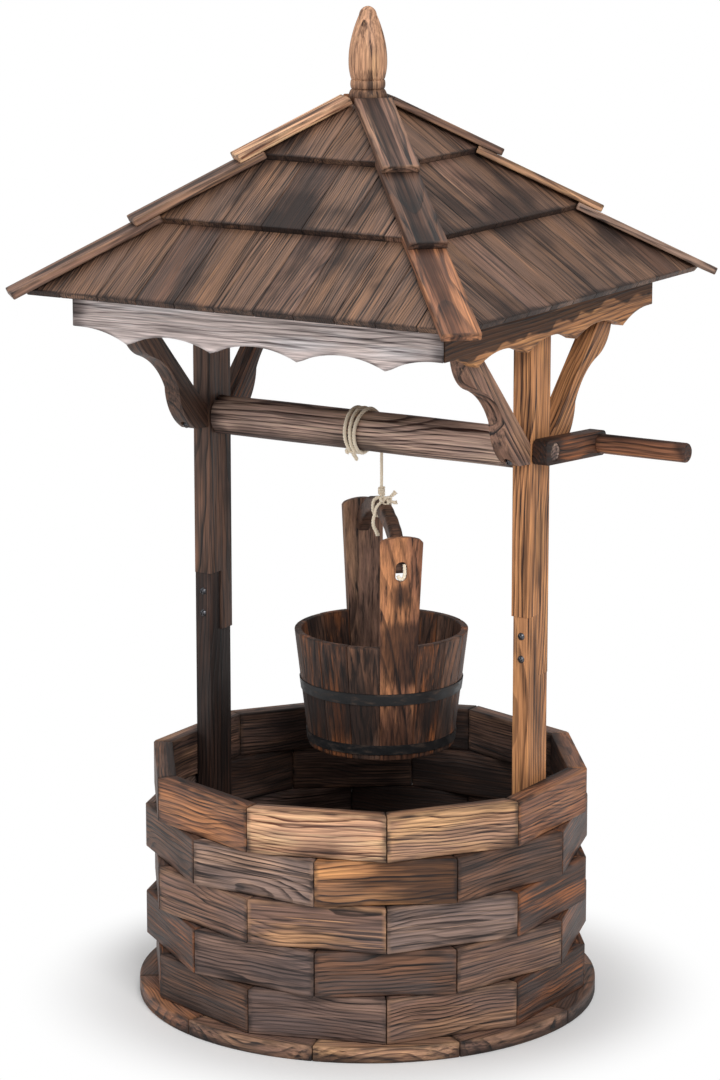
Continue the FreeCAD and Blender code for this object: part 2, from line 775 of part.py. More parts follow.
# Heights and radii up the finial, as shares of its height and of its largest radius, and the
# bulge of the turned surface from each to the next
FINIAL_SHAPE = [
    (0, 0.88, 0.12), (0.14, 0.87, 0), (0.147, 0.83, 0), (0.155, 0.88, 0.03), (0.235, 0.88, 0),
    (0.243, 0.84, 0), (0.255, 0.88, 0.03), (0.42, 1, 0.04), (0.67, 0.86, 0.03), (0.91, 0.46, 0.1),
]
turned_points = [(finial_radius * share, finial_height * level) for level, share, _ in FINIAL_SHAPE]
finial_profile = outline(
    "finial_profile", "xz",
    [
        (0, -spigot_length), (spigot_radius, -spigot_length), (spigot_radius, 0),
        *turned_points,
        (finial_radius * 0.06, finial_height), (0, finial_height),
    ],
    {
        side: (finial_radius * share, -1)
        for side, (_, _, share) in enumerate(FINIAL_SHAPE, start=3) if share
    },
)
label("finial", moved("Finial", revolve("finial_turned", finial_profile, Vector(0, 0, 1)), z=finial_seat))


# Windlass: the log and its journals, the crank arm and the dowel handle
log_half = post_inside - end_play
log_profile = outline(
    "log_profile", "xy",
    [
        (-post_outside, 0), (arm_outside, 0), (arm_outside, journal_radius), (log_half, journal_radius),
        (log_half, roller_radius), (-log_half, roller_radius), (-log_half, journal_radius),
        (-post_outside, journal_radius),
    ],
)
label("roller", moved("Roller", revolve("log_turned", log_profile, Vector(1, 0, 0)), z=roller_height))

corner_bulge = arm_round * (1 - cos(45))
half_arm = arm_width / 2
arm_profile = outline(
    "arm_profile", "yz",
    [
        (-arm_tail + arm_round, -half_arm), (arm_reach - arm_round, -half_arm),
        (arm_reach, -half_arm + arm_round), (arm_reach, half_arm - arm_round),
        (arm_reach - arm_round, half_arm), (-arm_tail + arm_round, half_arm),
        (-arm_tail, half_arm - arm_round), (-arm_tail, -half_arm + arm_round),
    ],
    {side: (corner_bulge, -1) for side in (1, 3, 5, 7)},
)
arm = cut(
    "arm",
    moved("arm_stock", extrude("arm_blank", arm_profile, Vector(1, 0, 0), arm_thickness), x=arm_inside),
    log("arm_hub", journal_radius + fit_gap, arm_inside - 1, arm_outside + 1, 0, 0),
    log("arm_mortise", grip_tenon + fit_gap, arm_inside - 1, arm_outside + 1, grip_offset, 0),
)
label("crank_arm", moved("CrankArm", arm, -crank_droop, Vector(1, 0, 0), z=roller_height))

grip_end = arm_outside + grip_length
grip_profile = outline(
    "grip_profile", "xy",
    [
        (arm_inside, 0), (grip_end, 0), (grip_end, grip_radius - grip_round),
        (grip_end - grip_round, grip_radius), (arm_outside, grip_radius),
        (arm_outside, grip_tenon), (arm_inside, grip_tenon),
    ],
    {2: (grip_round * (1 - cos(45)), -1)},
)
grip = moved("grip", revolve("grip_turned", grip_profile, Vector(1, 0, 0)), y=grip_offset)
label("crank_handle", moved("CrankHandle", grip, -crank_droop, Vector(1, 0, 0), z=roller_height))


# Rope: turns on the log, a stopper knot at their start and the drop to the bucket
def pipe(name, edges):
    """A round tube of the rope's radius along edges that run on smoothly."""
    wire = Part.Wire(edges)
    start = wire.OrderedVertexes[0].Point
    first = wire.OrderedEdges[0]
    heading = first.tangentAt(first.FirstParameter)
    if (first.valueAt(first.FirstParameter) - start).Length > 1e-6:
        heading = -first.tangentAt(first.LastParameter)
    shell = Part.BRepOffsetAPI.MakePipeShell(wire)
    shell.add(Part.Wire(Part.Circle(start, heading, rope_radius.value).toShape()))
    shell.build()
    shell.makeSolid()
    item = doc.addObject("Part::Feature", name)
    item.Shape = shell.shape()
    volume = math.pi * rope_radius.value ** 2 * wire.Length
    print(f"{name}: length {wire.Length:.1f} mm, volume {item.Shape.Volume / volume:.4f} of its section's")
    return item


def winding_point(angle):
    """A point of the rope's axis on the log, its angle counted from the front upwards."""
    turn = math.radians(angle)
    radius = winding_radius.value
    x = rope_x.value + winding_pitch.value * (angle - winding_end.value) / 360
    return Vector(x, -radius * math.cos(turn), roller_height.value + radius * math.sin(turn))


def winding_heading(angle, level=False):
    """Direction of the rope there; a level one keeps square to the log."""
    turn = math.radians(angle)
    lead = 0 if level else winding_pitch.value / (2 * math.pi * winding_radius.value)
    return Vector(lead, math.sin(turn), math.cos(turn)).normalize()


def biarc(start, heading, end, arrival):
    """Two arcs that leave the start and reach the end in the given directions."""
    chord = end - start
    both = heading + arrival
    a = 2 * (1 - heading.dot(arrival))
    b = 2 * chord.dot(both)
    reach = (-b + math.sqrt(b * b + 4 * a * chord.dot(chord))) / (2 * a)
    knee = (start + heading * reach + end - arrival * reach) * 0.5
    arcs = []
    for first, direction, last in ((start, heading, knee), (end, -arrival, knee)):
        line = last - first
        side = (line - direction * line.dot(direction)).normalize()
        radius = line.dot(line) / (2 * line.dot(side))
        centre = first + side * radius
        half_way = (first + last) * 0.5 - centre
        arcs.append(Part.Arc(first, centre + half_way.normalize() * radius, last).toShape())
    return arcs


quarter_turns = [winding_start.value]
while quarter_turns[-1] + 135 < winding_end.value:
    quarter_turns.append(quarter_turns[-1] + 90)
quarter_turns.append(winding_end.value)
straight = rope_radius.value * 2
start_point = winding_point(quarter_turns[0])
start_heading = winding_heading(quarter_turns[0], level=True)
knot_place = start_point - start_heading * straight
end_point = winding_point(quarter_turns[-1])
rope_edges = [Part.LineSegment(knot_place, start_point).toShape()]
for first, last in zip(quarter_turns, quarter_turns[1:]):
    rope_edges += biarc(
        winding_point(first), winding_heading(first, level=first == quarter_turns[0]),
        winding_point(last), winding_heading(last, level=last == quarter_turns[-1]),
    )
rope_edges.append(Part.LineSegment(end_point, end_point - Vector(0, 0, straight)).toShape())
label("rope_winding", pipe("RopeWinding", rope_edges))


def least_gap(angles):
    """Smallest clear distance between turns of the rope that are more than half a turn apart."""
    points = [(angle, winding_point(angle)) for angle in angles]
    return min(
        (here - there).Length for a, here in points for b, there in points if b - a > 180
    ) - rope_radius.value * 2


steps = range(int(winding_start.value), int(winding_end.value) + 1, 5)
print(f"rope winding: least gap between turns {least_gap(steps):.2f} mm")

knot_turn = as_size(0) - winding_start
knot_x = rope_x + winding_pitch * (winding_start - winding_end) / 360
knot_y = -winding_radius * cos(winding_start) - rope_radius * 2 * sin(winding_start)
knot_z = roller_height + winding_radius * sin(winding_start) - rope_radius * 2 * cos(winding_start)
knot_ball = add("Part::Sphere", "knot_ball", Radius=knot_radius)
bind(knot_ball, Placement__Base__x=knot_x, Placement__Base__y=knot_y, Placement__Base__z=knot_z)
label("winding_knot", cut(
    "WindingKnot",
    knot_ball,
    moved(
        "knot_socket", cylinder("knot_bit", rope_radius + fit_gap / 2, 0, knot_radius * 2),
        knot_turn, Vector(1, 0, 0), knot_x, knot_y, knot_z,
    ),
    log("knot_saddle", roller_radius + fit_gap / 2, -log_half, log_half, 0, roller_height),
))

label("rope_drop", cylinder("RopeDrop", rope_radius, drop_end, drop_top, rope_x, winding_radius))
bucket_knot = add("Part::Sphere", "BucketKnot", Radius=knot_radius)
bind(bucket_knot, Placement__Base__x=rope_x, Placement__Base__y=winding_radius, Placement__Base__z=knot_level)
label("rope_knot", bucket_knot)


# Bucket: staves, two of them tall for the bow handle, a bottom board, hoops and rope ends
def in_bucket(name, source):
    """Moves a piece of the bucket, drawn upright at the origin, to where the bucket hangs."""
    return moved(name, source, stave_turn, Vector(0, 0, 1), rope_x, winding_radius, bucket_base)


def taper(name, low, high, offset=0):
    """The cone of the staves' outer face, moved out by an offset, between two levels."""
    low = as_size(low)
    item = add(
        "Part::Cone", name,
        Radius1=base_radius + stave_slope * low + offset,
        Radius2=base_radius + stave_slope * high + offset,
        Height=high - low,
    )
    return bind(item, Placement__Base__z=low)


stave_cuts = diametral_saws(
    "stave_saws", rim_radius * 2, stave_gap, -1, tall_stave + 1, STAVE_COUNT // 2, tall_angle / 2,
    stave_angle,
)
hollow = taper("bucket_hollow", -1, tall_stave + 1, -stave_thickness)
croze = taper(
    "croze", croze_height - fit_gap, croze_height + bottom_thickness + fit_gap,
    croze_depth - stave_thickness,
)
sector_reach = rim_radius * 2
sector_plan = outline(
    "sector_plan", "xy",
    [
        (0, 0),
        (sector_reach, -sector_reach * tan(tall_angle / 2)),
        (sector_reach, sector_reach * tan(tall_angle / 2)),
    ],
)
front_sector = moved(
    "front_sector", extrude("sector", sector_plan, Vector(0, 0, 1), tall_stave + 1)
)
sectors = fuse("handle_sectors", front_sector, moved("back_sector", front_sector, 180))
label("bucket_staves", in_bucket("BucketStaves", cut(
    "plain_staves", taper("stave_cone", 0, bucket_height), hollow, croze, stave_cuts, sectors,
)))

top_half = (base_radius + stave_slope * tall_stave) * tan(tall_angle / 2)
round_sweep = 90 - tall_slope
round_bulge = tall_round * (1 - cos(round_sweep / 2))
dome_half = top_half - tall_round * (1 - cos(round_sweep))
dome_rise = dome_half * tan(tall_slope / 2)
dome_foot = tall_stave - dome_rise
shoulder = dome_foot - tall_round * sin(round_sweep)
tall_outline = outline(
    "tall_outline", "yz",
    [
        (-top_half, 0), (top_half, 0), (top_half, shoulder), (dome_half, dome_foot),
        (-dome_half, dome_foot), (-top_half, shoulder),
    ],
    {2: (round_bulge, -1), 3: (dome_rise, -1), 4: (round_bulge, -1)},
)
tall_shape = extrude("tall_shape", tall_outline, Vector(1, 0, 0), sector_reach * 2, symmetric=True)
half_hole = hole_width / 2
hole_straight = hole_height / 2 - half_hole
hole_outline = outline(
    "hole_outline", "yz",
    [
        (half_hole, hole_level - hole_straight), (half_hole, hole_level + hole_straight),
        (0, hole_level + hole_height / 2), (-half_hole, hole_level + hole_straight),
        (-half_hole, hole_level - hole_straight), (0, hole_level - hole_height / 2),
    ],
    {side: (half_hole * (1 - cos(45)), -1) for side in (1, 2, 4, 5)},
)
hole = extrude("hole", hole_outline, Vector(1, 0, 0), sector_reach)
tall_blank = common(
    "tall_blank", common("tall_sector", taper("tall_cone", 0, tall_stave), sectors), tall_shape
)
label("handle_staves", in_bucket("HandleStaves", cut(
    "tall_staves", tall_blank, hollow, croze, stave_cuts, hole,
)))

label("bucket_bottom", in_bucket("BucketBottom", taper(
    "bottom_board", croze_height, croze_height + bottom_thickness,
    croze_depth - stave_thickness - fit_gap,
)))

for name, low, width in (
    ("hoop_upper", upper_hoop_level, upper_hoop_width),
    ("hoop_lower", lower_hoop_level, lower_hoop_width),
):
    label(name, in_bucket(f"{name}_band", cut(
        f"{name}_strip",
        taper(f"{name}_outer", low, low + width, fit_gap + hoop_thickness),
        taper(f"{name}_inner", low - 1, low + width + 1, fit_gap),
    )))

half_bow = bow_width / 2
bow_inside = bow_radius - bow_depth
edge_bulge = bow_round * (1 - cos(45))
bow_profile = outline(
    "bow_profile", "yz",
    [
        (half_bow - bow_round, bow_inside), (half_bow, bow_inside + bow_round),
        (half_bow, bow_radius - bow_round), (half_bow - bow_round, bow_radius),
        (-half_bow + bow_round, bow_radius), (-half_bow, bow_radius - bow_round),
        (-half_bow, bow_inside + bow_round), (-half_bow + bow_round, bow_inside),
    ],
    {side: (edge_bulge, -1) for side in (0, 2, 4, 6)},
)
bow_arch = moved(
    "bow_arch", revolve("bow_turned", bow_profile, Vector(0, 1, 0), 110, symmetric=True),
    z=bow_crown - bow_radius,
)
label("bucket_handle", in_bucket("BucketHandle", common(
    "bow", bow_arch, taper("bow_room", 0, bow_crown, -stave_thickness - seat_gap)
)))

loop_half = half_bow + fit_gap + rope_radius
loop_middle = bow_crown - bow_depth / 2
loop_rise = bow_depth / 2 + fit_gap + rope_radius
flat_half = Vector(0, loop_half.value - loop_radius.value, loop_rise.value - loop_radius.value)
middle = Vector(0, 0, loop_middle.value)
corners = []
for number, (y, z) in enumerate(((1, 1), (-1, 1), (-1, -1), (1, -1))):
    centre = middle + Vector(0, y * flat_half.y, z * flat_half.z)
    beside = centre + Vector(0, y * loop_radius.value, 0)
    beyond = centre + Vector(0, 0, z * loop_radius.value)
    half_way = centre + Vector(0, y, z).normalize() * loop_radius.value
    corners.append((beyond, half_way, beside) if number % 2 else (beside, half_way, beyond))
loop_edges = []
for number, (enter, half_way, leave) in enumerate(corners):
    following = corners[(number + 1) % len(corners)][0]
    loop_edges.append(Part.Arc(enter, half_way, leave).toShape())
    loop_edges.append(Part.LineSegment(leave, following).toShape())
loop = pipe("rope_loop", loop_edges)
tail = cylinder(
    "rope_tail", rope_radius, loop_middle + bow_depth / 2 - tail_length, loop_middle + bow_depth / 2,
    -rope_radius * 1.9, -loop_half,
)

# The rope's other end shows in the hole of the front handle stave, hooked like a J
hook_x = base_radius.value + stave_slope.value * hole_level.value - stave_thickness.value / 2
hook_y = half_hole.value - seat_gap.value - rope_radius.value
hook_radius = hook_y * 0.75
hook_low = hole_level.value - hole_straight.value
hook_top = hole_level.value + hole_straight.value
hook_centre = Vector(hook_x, hook_y - hook_radius, hook_low)


def on_hook(angle):
    turn = math.radians(angle)
    return hook_centre + Vector(0, math.cos(turn), math.sin(turn)) * hook_radius


hook_start = Vector(hook_x, hook_y, hook_top)
hook_end = on_hook(-180) + Vector(0, 0, rope_radius.value)
hook = pipe("rope_hook", [
    Part.LineSegment(hook_start, on_hook(0)).toShape(),
    Part.Arc(on_hook(0), on_hook(-45), on_hook(-90)).toShape(),
    Part.Arc(on_hook(-90), on_hook(-135), on_hook(-180)).toShape(),
    Part.LineSegment(on_hook(-180), hook_end).toShape(),
])
label("handle_ropes", in_bucket("HandleRopes", group("rope_ends", fuse("tied_loop", loop, tail), hook)))

doc.recompute()

for item in doc.Objects:
    if "Invalid" in item.State or "Error" in item.State:
        raise RuntimeError(f"{item.Name} failed: {item.State}")

os.makedirs("parts", exist_ok=True)
for item in nodes:
    shape = item.Shape
    if shape.isNull() or not shape.isValid() or not shape.Solids:
        raise RuntimeError(f"{item.Label} has no valid solid")
    shape.exportStep(f"parts/{item.Label}.step")
print(f"{len(nodes)} nodes, top at {max(item.Shape.BoundBox.ZMax for item in nodes):.1f} mm")
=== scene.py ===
import math
import bmesh
import bpy
import numpy as np
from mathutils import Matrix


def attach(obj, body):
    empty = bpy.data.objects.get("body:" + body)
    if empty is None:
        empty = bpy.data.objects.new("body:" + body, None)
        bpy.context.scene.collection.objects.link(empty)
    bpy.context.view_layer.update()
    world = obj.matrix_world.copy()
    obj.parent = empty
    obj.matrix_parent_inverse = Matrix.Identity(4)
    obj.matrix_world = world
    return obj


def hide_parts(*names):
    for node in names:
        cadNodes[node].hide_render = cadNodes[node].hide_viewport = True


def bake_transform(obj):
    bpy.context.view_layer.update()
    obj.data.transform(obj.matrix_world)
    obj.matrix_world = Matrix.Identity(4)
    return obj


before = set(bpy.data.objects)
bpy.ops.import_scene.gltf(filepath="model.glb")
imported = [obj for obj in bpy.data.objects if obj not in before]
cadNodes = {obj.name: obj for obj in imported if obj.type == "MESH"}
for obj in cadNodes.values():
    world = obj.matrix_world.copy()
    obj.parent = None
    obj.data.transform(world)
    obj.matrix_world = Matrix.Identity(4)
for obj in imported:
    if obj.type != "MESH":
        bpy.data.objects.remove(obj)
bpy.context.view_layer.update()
scene = bpy.context.scene
mm = 0.001
seeded = np.random.default_rng
print("frame loaded:", len(cadNodes), "nodes")


cameraPlan = {
    "turn": 31.3,        # degrees round from the front, towards the crank
    "distance": 4.15,    # metres from the well's axis
    "height": 1.44,
    "pitch": -12.38,
    "yaw": 0.12,
    "lens": 125.0,
}


def placeCamera(plan):
    turn = math.radians(plan["turn"])
    data = bpy.data.cameras.new("photoCamera")
    data.lens = plan["lens"]
    data.sensor_width = 36
    data.clip_end = 60
    camera = bpy.data.objects.new("photoCamera", data)
    camera.location = (plan["distance"] * math.sin(turn), -plan["distance"] * math.cos(turn), plan["height"])
    camera.rotation_euler = (math.radians(90 + plan["pitch"]), 0, turn + math.radians(plan["yaw"]))
    scene.collection.objects.link(camera)
    scene.camera = camera


placeCamera(cameraPlan)
print("camera placed")


# A screen colour from 0 to 255 turned into Blender's linear values
def linear(red, green, blue):
    share = np.array([red, green, blue]) / 255
    return np.where(share <= 0.04045, share / 12.92, ((share + 0.055) / 1.055) ** 2.4)


# Adds nodes to a shader tree; each function but feed and parts gives back the socket with its result
class ShaderTree:
    def __init__(self, source):
        self.source = source

    def feed(self, item, inputs):
        for key, value in inputs.items():
            if isinstance(value, bpy.types.NodeSocket):
                self.source.links.new(value, item.inputs[key])
            else:
                item.inputs[key].default_value = value

    def node(self, kind, inputs, output=0, **settings):
        item = self.source.nodes.new("ShaderNode" + kind)
        for key, value in settings.items():
            setattr(item, key, value)
        self.feed(item, inputs)
        return item.outputs[output]

    def maths(self, operation, *values, clamp=False):
        return self.node("Math", dict(enumerate(values)), operation=operation, use_clamp=clamp)

    def plus(self, first, second):
        return self.maths("ADD", first, second)

    def times(self, first, second):
        return self.maths("MULTIPLY", first, second)

    # first times second, plus third
    def timesPlus(self, first, second, third, clamp=False):
        return self.maths("MULTIPLY_ADD", first, second, third, clamp=clamp)

    def scaled(self, vector, factors):
        return self.node("VectorMath", {0: vector, 1: factors}, operation="MULTIPLY")

    def size(self, value):
        return self.maths("ABSOLUTE", value)

    # Noise on a stretched copy of the vector, about 0.5 on average
    def noise(self, vector, factors, detail=2.0, roughness=0.5):
        return self.node("TexNoise", {
            "Vector": self.scaled(vector, factors), "Scale": 1.0, "Detail": detail, "Roughness": roughness,
        })

    def mix(self, share, first, second, mode="MIX"):
        return self.node("Mix", {0: share, 6: first, 7: second}, 2, data_type="RGBA", blend_type=mode)

    # Goes smoothly from newLow to newHigh while the value goes from low to high
    def step(self, value, low, high, newLow=0.0, newHigh=1.0):
        return self.node("MapRange", {
            "Value": value, "From Min": low, "From Max": high, "To Min": newLow, "To Max": newHigh,
        }, interpolation_type="SMOOTHSTEP")

    def ramp(self, share, stops):
        socket = self.node("ValToRGB", {0: share})
        ramp = socket.node.color_ramp
        ramp.interpolation = "EASE"
        while len(ramp.elements) < len(stops):
            ramp.elements.new(0.5)
        for element, (place, value) in zip(ramp.elements, stops):
            element.position = place
            element.color = (value, value, value, 1)
        return socket

    def attribute(self, name, output="Vector"):
        return self.node("Attribute", {}, output, attribute_name=name, attribute_type="GEOMETRY")

    def parts(self, vector):
        return self.node("SeparateXYZ", {0: vector}).node.outputs

    def place(self):
        return self.node("TexCoord", {}, "Object")

    def bump(self, height, strength, distance):
        return self.node("Bump", {"Height": height, "Strength": strength, "Distance": distance})


# Burnt fir: growth rings about a far pith, fibres, golden flames, scorched patches, knots, and arrises
# lighter in patches, partly wear and partly painted highlight
def makeFirGroup():
    group = bpy.data.node_groups.new("firGrain", "ShaderNodeTree")
    inputs = {
        "Grain": None, "Light": (0.5, 0.3, 0.2, 1), "Dark": (0.1, 0.05, 0.03, 1),
        "Flame Tone": (0.7, 0.4, 0.2, 1), "Soot": 0.0, "Arris": 0.0, "Ring Width": 0.005, "Contrast": 0.9,
        "Flame": 0.6, "Scorch": 0.3, "Weather": 0.2, "Knots": 1.0, "Edge": 0.5, "Wave": 1.0,
    }
    for label, value in inputs.items():
        kind = "Vector" if value is None else "Color" if isinstance(value, tuple) else "Float"
        socket = group.interface.new_socket(label, in_out="INPUT", socket_type="NodeSocket" + kind)
        if value is not None:
            socket.default_value = value
    for label, kind in (("Colour", "Color"), ("Height", "Float"), ("Roughness", "Float")):
        group.interface.new_socket(label, in_out="OUTPUT", socket_type="NodeSocket" + kind)
    given = group.nodes.new("NodeGroupInput").outputs
    result = group.nodes.new("NodeGroupOutput")
    tree = ShaderTree(group)
    grain, contrast, flameTone = given["Grain"], given["Contrast"], given["Flame Tone"]
    along, aside, behind = tree.parts(grain)
    across = tree.node("CombineXYZ", {"Y": aside, "Z": behind})
    radius = tree.node("VectorMath", {0: across}, "Value", operation="LENGTH")

    # Knots: a sparse cell pattern; each centre pushes the rings outwards round it
    cells = {"Vector": tree.scaled(grain, (3.6, 9.5, 2.0)), "Scale": 1.0}
    knotReach = tree.maths("DIVIDE", tree.node("TexVoronoi", cells, "Distance", feature="F1"), 0.115)
    knotPush = tree.times(tree.times(knotReach, knotReach), -1.0)
    knotPush = tree.times(tree.maths("EXPONENT", knotPush), given["Knots"])
    knotCore = tree.step(knotPush, 0.86, 0.95)

    # Rings: the way from the pith, leaning and wavy, in ring widths; each ring has its own strength
    radius = tree.plus(radius, tree.times(along, 0.035))
    for factors, detail, size in (((6.5, 13, 13), 1.5, 0.036), ((20, 90, 90), 2.0, 0.0034)):
        wave = tree.maths("SUBTRACT", tree.noise(grain, factors, detail), 0.5)
        radius = tree.timesPlus(tree.times(wave, given["Wave"]), size, radius)
    radius = tree.timesPlus(knotPush, 0.015, radius)
    rings = tree.maths("DIVIDE", radius, given["Ring Width"])
    late = tree.ramp(tree.maths("FRACT", rings), [
        (0.0, 0.0), (0.42, 0.06), (0.68, 0.55), (0.82, 1.0), (0.93, 0.95), (1.0, 0.0),
    ])
    ringTone = tree.node("TexWhiteNoise", {"W": tree.maths("FLOOR", rings)}, noise_dimensions="1D")
    late = tree.times(late, tree.timesPlus(ringTone, 0.65, 0.38))

    fibre = tree.noise(grain, (14, 540, 540), 3.0, 0.65)
    streak = tree.noise(grain, (6, 240, 240), 3.0, 0.6)
    gleam = tree.noise(grain, (9, 330, 330), 2.0, 0.6)
    patch = tree.noise(grain, (7, 21, 21), 3.0, 0.55)
    cloud = tree.noise(grain, (11, 31, 31))
    bloom = tree.noise(grain, (6.5, 38, 38), 2.5, 0.55)

    light = tree.mix(tree.times(tree.step(bloom, 0.50, 0.66), given["Flame"]), given["Light"], flameTone)
    darkShare = tree.timesPlus(tree.step(streak, 0.50, 0.64), 0.6, tree.times(late, contrast), clamp=True)
    wood = tree.mix(darkShare, light, given["Dark"])
    wood = tree.mix(tree.times(tree.times(tree.step(gleam, 0.58, 0.68), contrast), 0.55), wood, flameTone)
    grey = tree.mix(1.0, wood, (0.78, 0.79, 0.84, 1), "MULTIPLY")
    grey = tree.mix(0.18, grey, (0.20, 0.17, 0.165, 1))
    wood = tree.mix(tree.times(tree.step(cloud, 0.40, 0.62), given["Weather"]), wood, grey)
    shade = tree.step(fibre, 0.28, 0.72, 0.62, 1.22)
    wood = tree.mix(1.0, wood, tree.node("CombineXYZ", {0: shade, 1: shade, 2: shade}), "MULTIPLY")

    # Arrises: lighter in some places, partly worn to the bare wood and partly a painted highlight; sooty in
    # others
    edgeNoise = tree.noise(grain, (22, 70, 70))
    wearAndHighlight = tree.times(given["Arris"], tree.step(edgeNoise, 0.38, 0.62))
    sooty = tree.times(given["Arris"], tree.step(edgeNoise, 0.66, 0.36, 0.2, 0.7))
    wood = tree.mix(sooty, wood, (0.025, 0.017, 0.015, 1))
    wood = tree.mix(tree.times(wearAndHighlight, given["Edge"]), wood, tree.mix(0.55, wood, flameTone))

    scorch = tree.plus(patch, tree.timesPlus(streak, 0.35, -0.175))
    scorch = tree.timesPlus(given["Scorch"], 0.5, tree.plus(scorch, given["Soot"]))
    burnt = tree.step(scorch, 0.58, 0.94)
    burntWood = tree.mix(1.0, wood, (0.24, 0.21, 0.215, 1), "MULTIPLY")
    burntWood = tree.mix(0.45, burntWood, (0.018, 0.013, 0.012, 1))
    wood = tree.mix(tree.times(burnt, 0.92), wood, burntWood)
    wood = tree.mix(knotCore, wood, (0.085, 0.032, 0.018, 1))

    height = tree.times(late, 0.55)
    for part, share in ((fibre, 0.5), (streak, 0.35), (knotCore, -0.4)):
        height = tree.timesPlus(part, share, height)
    rough = tree.timesPlus(fibre, 0.22, 0.46)
    rough = tree.timesPlus(burnt, 0.08, rough)
    rough = tree.timesPlus(late, -0.08, rough)
    tree.feed(result, {"Colour": wood, "Height": height, "Roughness": rough})
    return group


firGroup = makeFirGroup()


# Stains: extra soot from the board's own place, -1 to 1 along, across and outwards; on the wall's inner faces
# and on the upper band of the front and back fascias it is painted shade
def wallStainAndShade(tree, along, across, outwards):
    ends = tree.step(tree.size(along), 0.86, 1.0, 0.0, 0.10)
    # the ends are darker at the joints, and the faces towards outwards -1 (the wall's inner faces, the
    # undersides of ring and slats) darker still: painted shade
    return tree.plus(ends, tree.step(outwards, 0.55, -0.6, 0.0, 0.28))


def roofStain(tree, along, across, outwards):
    smoke = tree.timesPlus(tree.noise(tree.place(), (8, 8, 14), 3.0, 0.55), 1.1, -0.52)
    return tree.plus(smoke, tree.step(along, -0.9, -0.99, 0.0, 0.2))


def battenStain(tree, along, across, outwards):
    return tree.step(tree.size(tree.plus(across, -0.12)), 0.60, 0.25, -0.06, 0.30)


def fasciaStainAndShade(tree, along, across, outwards):
    ends = tree.step(tree.size(along), 0.88, 1.0, 0.0, 0.3)
    # darker ends, and an upper band darker towards the eave: painted shade under the eave
    return tree.plus(ends, tree.step(across, 0.35, 0.95, 0.0, 0.3))


def burntFasciaStain(tree, along, across, outwards):
    wavy = tree.timesPlus(tree.noise(along, (3, 3, 3)), 0.9, -0.45)
    level = tree.plus(tree.timesPlus(along, -0.25, across), wavy)
    return tree.times(tree.times(tree.step(level, -0.6, -0.4), tree.step(level, 0.4, 0.15)), 0.55)


def staveStain(tree, along, across, outwards):
    smoke = tree.timesPlus(tree.noise(tree.place(), (14, 14, 10)), 1.2, -0.62)
    above = tree.plus(tree.step(along, 0.0, 0.2, 0.26, 0.04), smoke)
    return tree.plus(above, tree.step(outwards, 0.2, -0.2, 0.0, -0.10))


def tallStain(tree, along, across, outwards):
    band = tree.times(tree.step(along, -0.45, -0.25), tree.step(along, 0.30, 0.12))
    mark = tree.times(tree.step(along, 0.34, 0.46), tree.step(along, 0.64, 0.52))
    mark = tree.times(mark, tree.step(tree.size(across), 0.55, 0.2))
    marks = tree.timesPlus(mark, 0.25, tree.step(along, -0.35, -0.5, 0.0, 0.30))
    return tree.timesPlus(band, 0.38, marks)


def armStain(tree, along, across, outwards):
    return tree.plus(tree.step(along, -0.4, -0.85, 0.0, 0.4), tree.step(along, 0.65, 0.95, 0.0, 0.3))


# Finishes of the fir: the values of the grain group's inputs, in this order
finishInputs = ("Ring Width", "Contrast", "Flame", "Scorch", "Weather", "Knots", "Edge", "Wave")
firFinishes = {
    "wall": (0.0036, 1.0, 0.8, 0.14, 0.8, 0.8, 0.55, 0.9),
    "post": (0.0050, 1.0, 0.6, 0.18, 0.2, 0.3, 0.5, 0.55),
    "fascia": (0.0050, 0.65, 0.8, 0.02, 0.15, 0.1, 0.4, 0.6),
    "burntFascia": (0.0050, 0.9, 0.7, 0.06, 0.2, 0.2, 0.5, 0.6),
    "roof": (0.0028, 0.9, 0.3, 0.18, 0.4, 0.2, 0.12, 0.4),
    "batten": (0.0050, 1.0, 0.5, 0.10, 0.2, 0.1, 0.6, 0.45),
    "finial": (0.0056, 0.6, 0.6, 0.14, 0.2, 0.1, 0.3, 0.4),
    "log": (0.0036, 1.0, 0.8, 0.04, 0.4, 0.0, 0.3, 0.3),
    "dark": (0.0044, 1.0, 0.7, 0.26, 0.3, 0.2, 0.5, 0.5),
    "arm": (0.0044, 1.0, 0.35, 0.34, 0.3, 0.2, 0.5, 0.5),
    "bucket": (0.0062, 0.8, 1.0, 0.22, 0.1, 0.5, 0.35, 0.3),
    "tallStave": (0.0066, 0.75, 0.8, 0.10, 0.2, 0.1, 0.5, 0.25),
}
firStains = {
    "wall": wallStainAndShade, "fascia": fasciaStainAndShade, "burntFascia": burntFasciaStain, "roof": roofStain,
    "batten": battenStain, "arm": armStain, "bucket": staveStain, "tallStave": tallStain,
}
reliefs = {"finial": 0.0004}


def newMaterial(name):
    material = bpy.data.materials.new(name)
    material.use_nodes = True
    return material, ShaderTree(material.node_tree), material.node_tree.nodes["Principled BSDF"]


def firMaterial(key):
    material, tree, skin = newMaterial(key + "Fir")
    soot = tree.attribute("soot", "Fac")
    if key in firStains:
        soot = tree.plus(soot, firStains[key](tree, *tree.parts(tree.attribute("place"))))
    grain = tree.node("Group", {
        "Grain": tree.attribute("grain"), "Light": tree.attribute("lightTone", "Color"),
        "Dark": tree.attribute("darkTone", "Color"), "Flame Tone": tree.attribute("flameTone", "Color"),
        "Soot": soot, "Arris": tree.attribute("arris", "Fac"), **dict(zip(finishInputs, firFinishes[key])),
    }, node_tree=firGroup).node.outputs
    tree.feed(skin, {
        "Base Color": grain["Colour"], "Roughness": grain["Roughness"], "Specular IOR Level": 0.3,
        "Normal": tree.bump(grain["Height"], 0.85, reliefs.get(key, 0.0009)),
    })
    return material


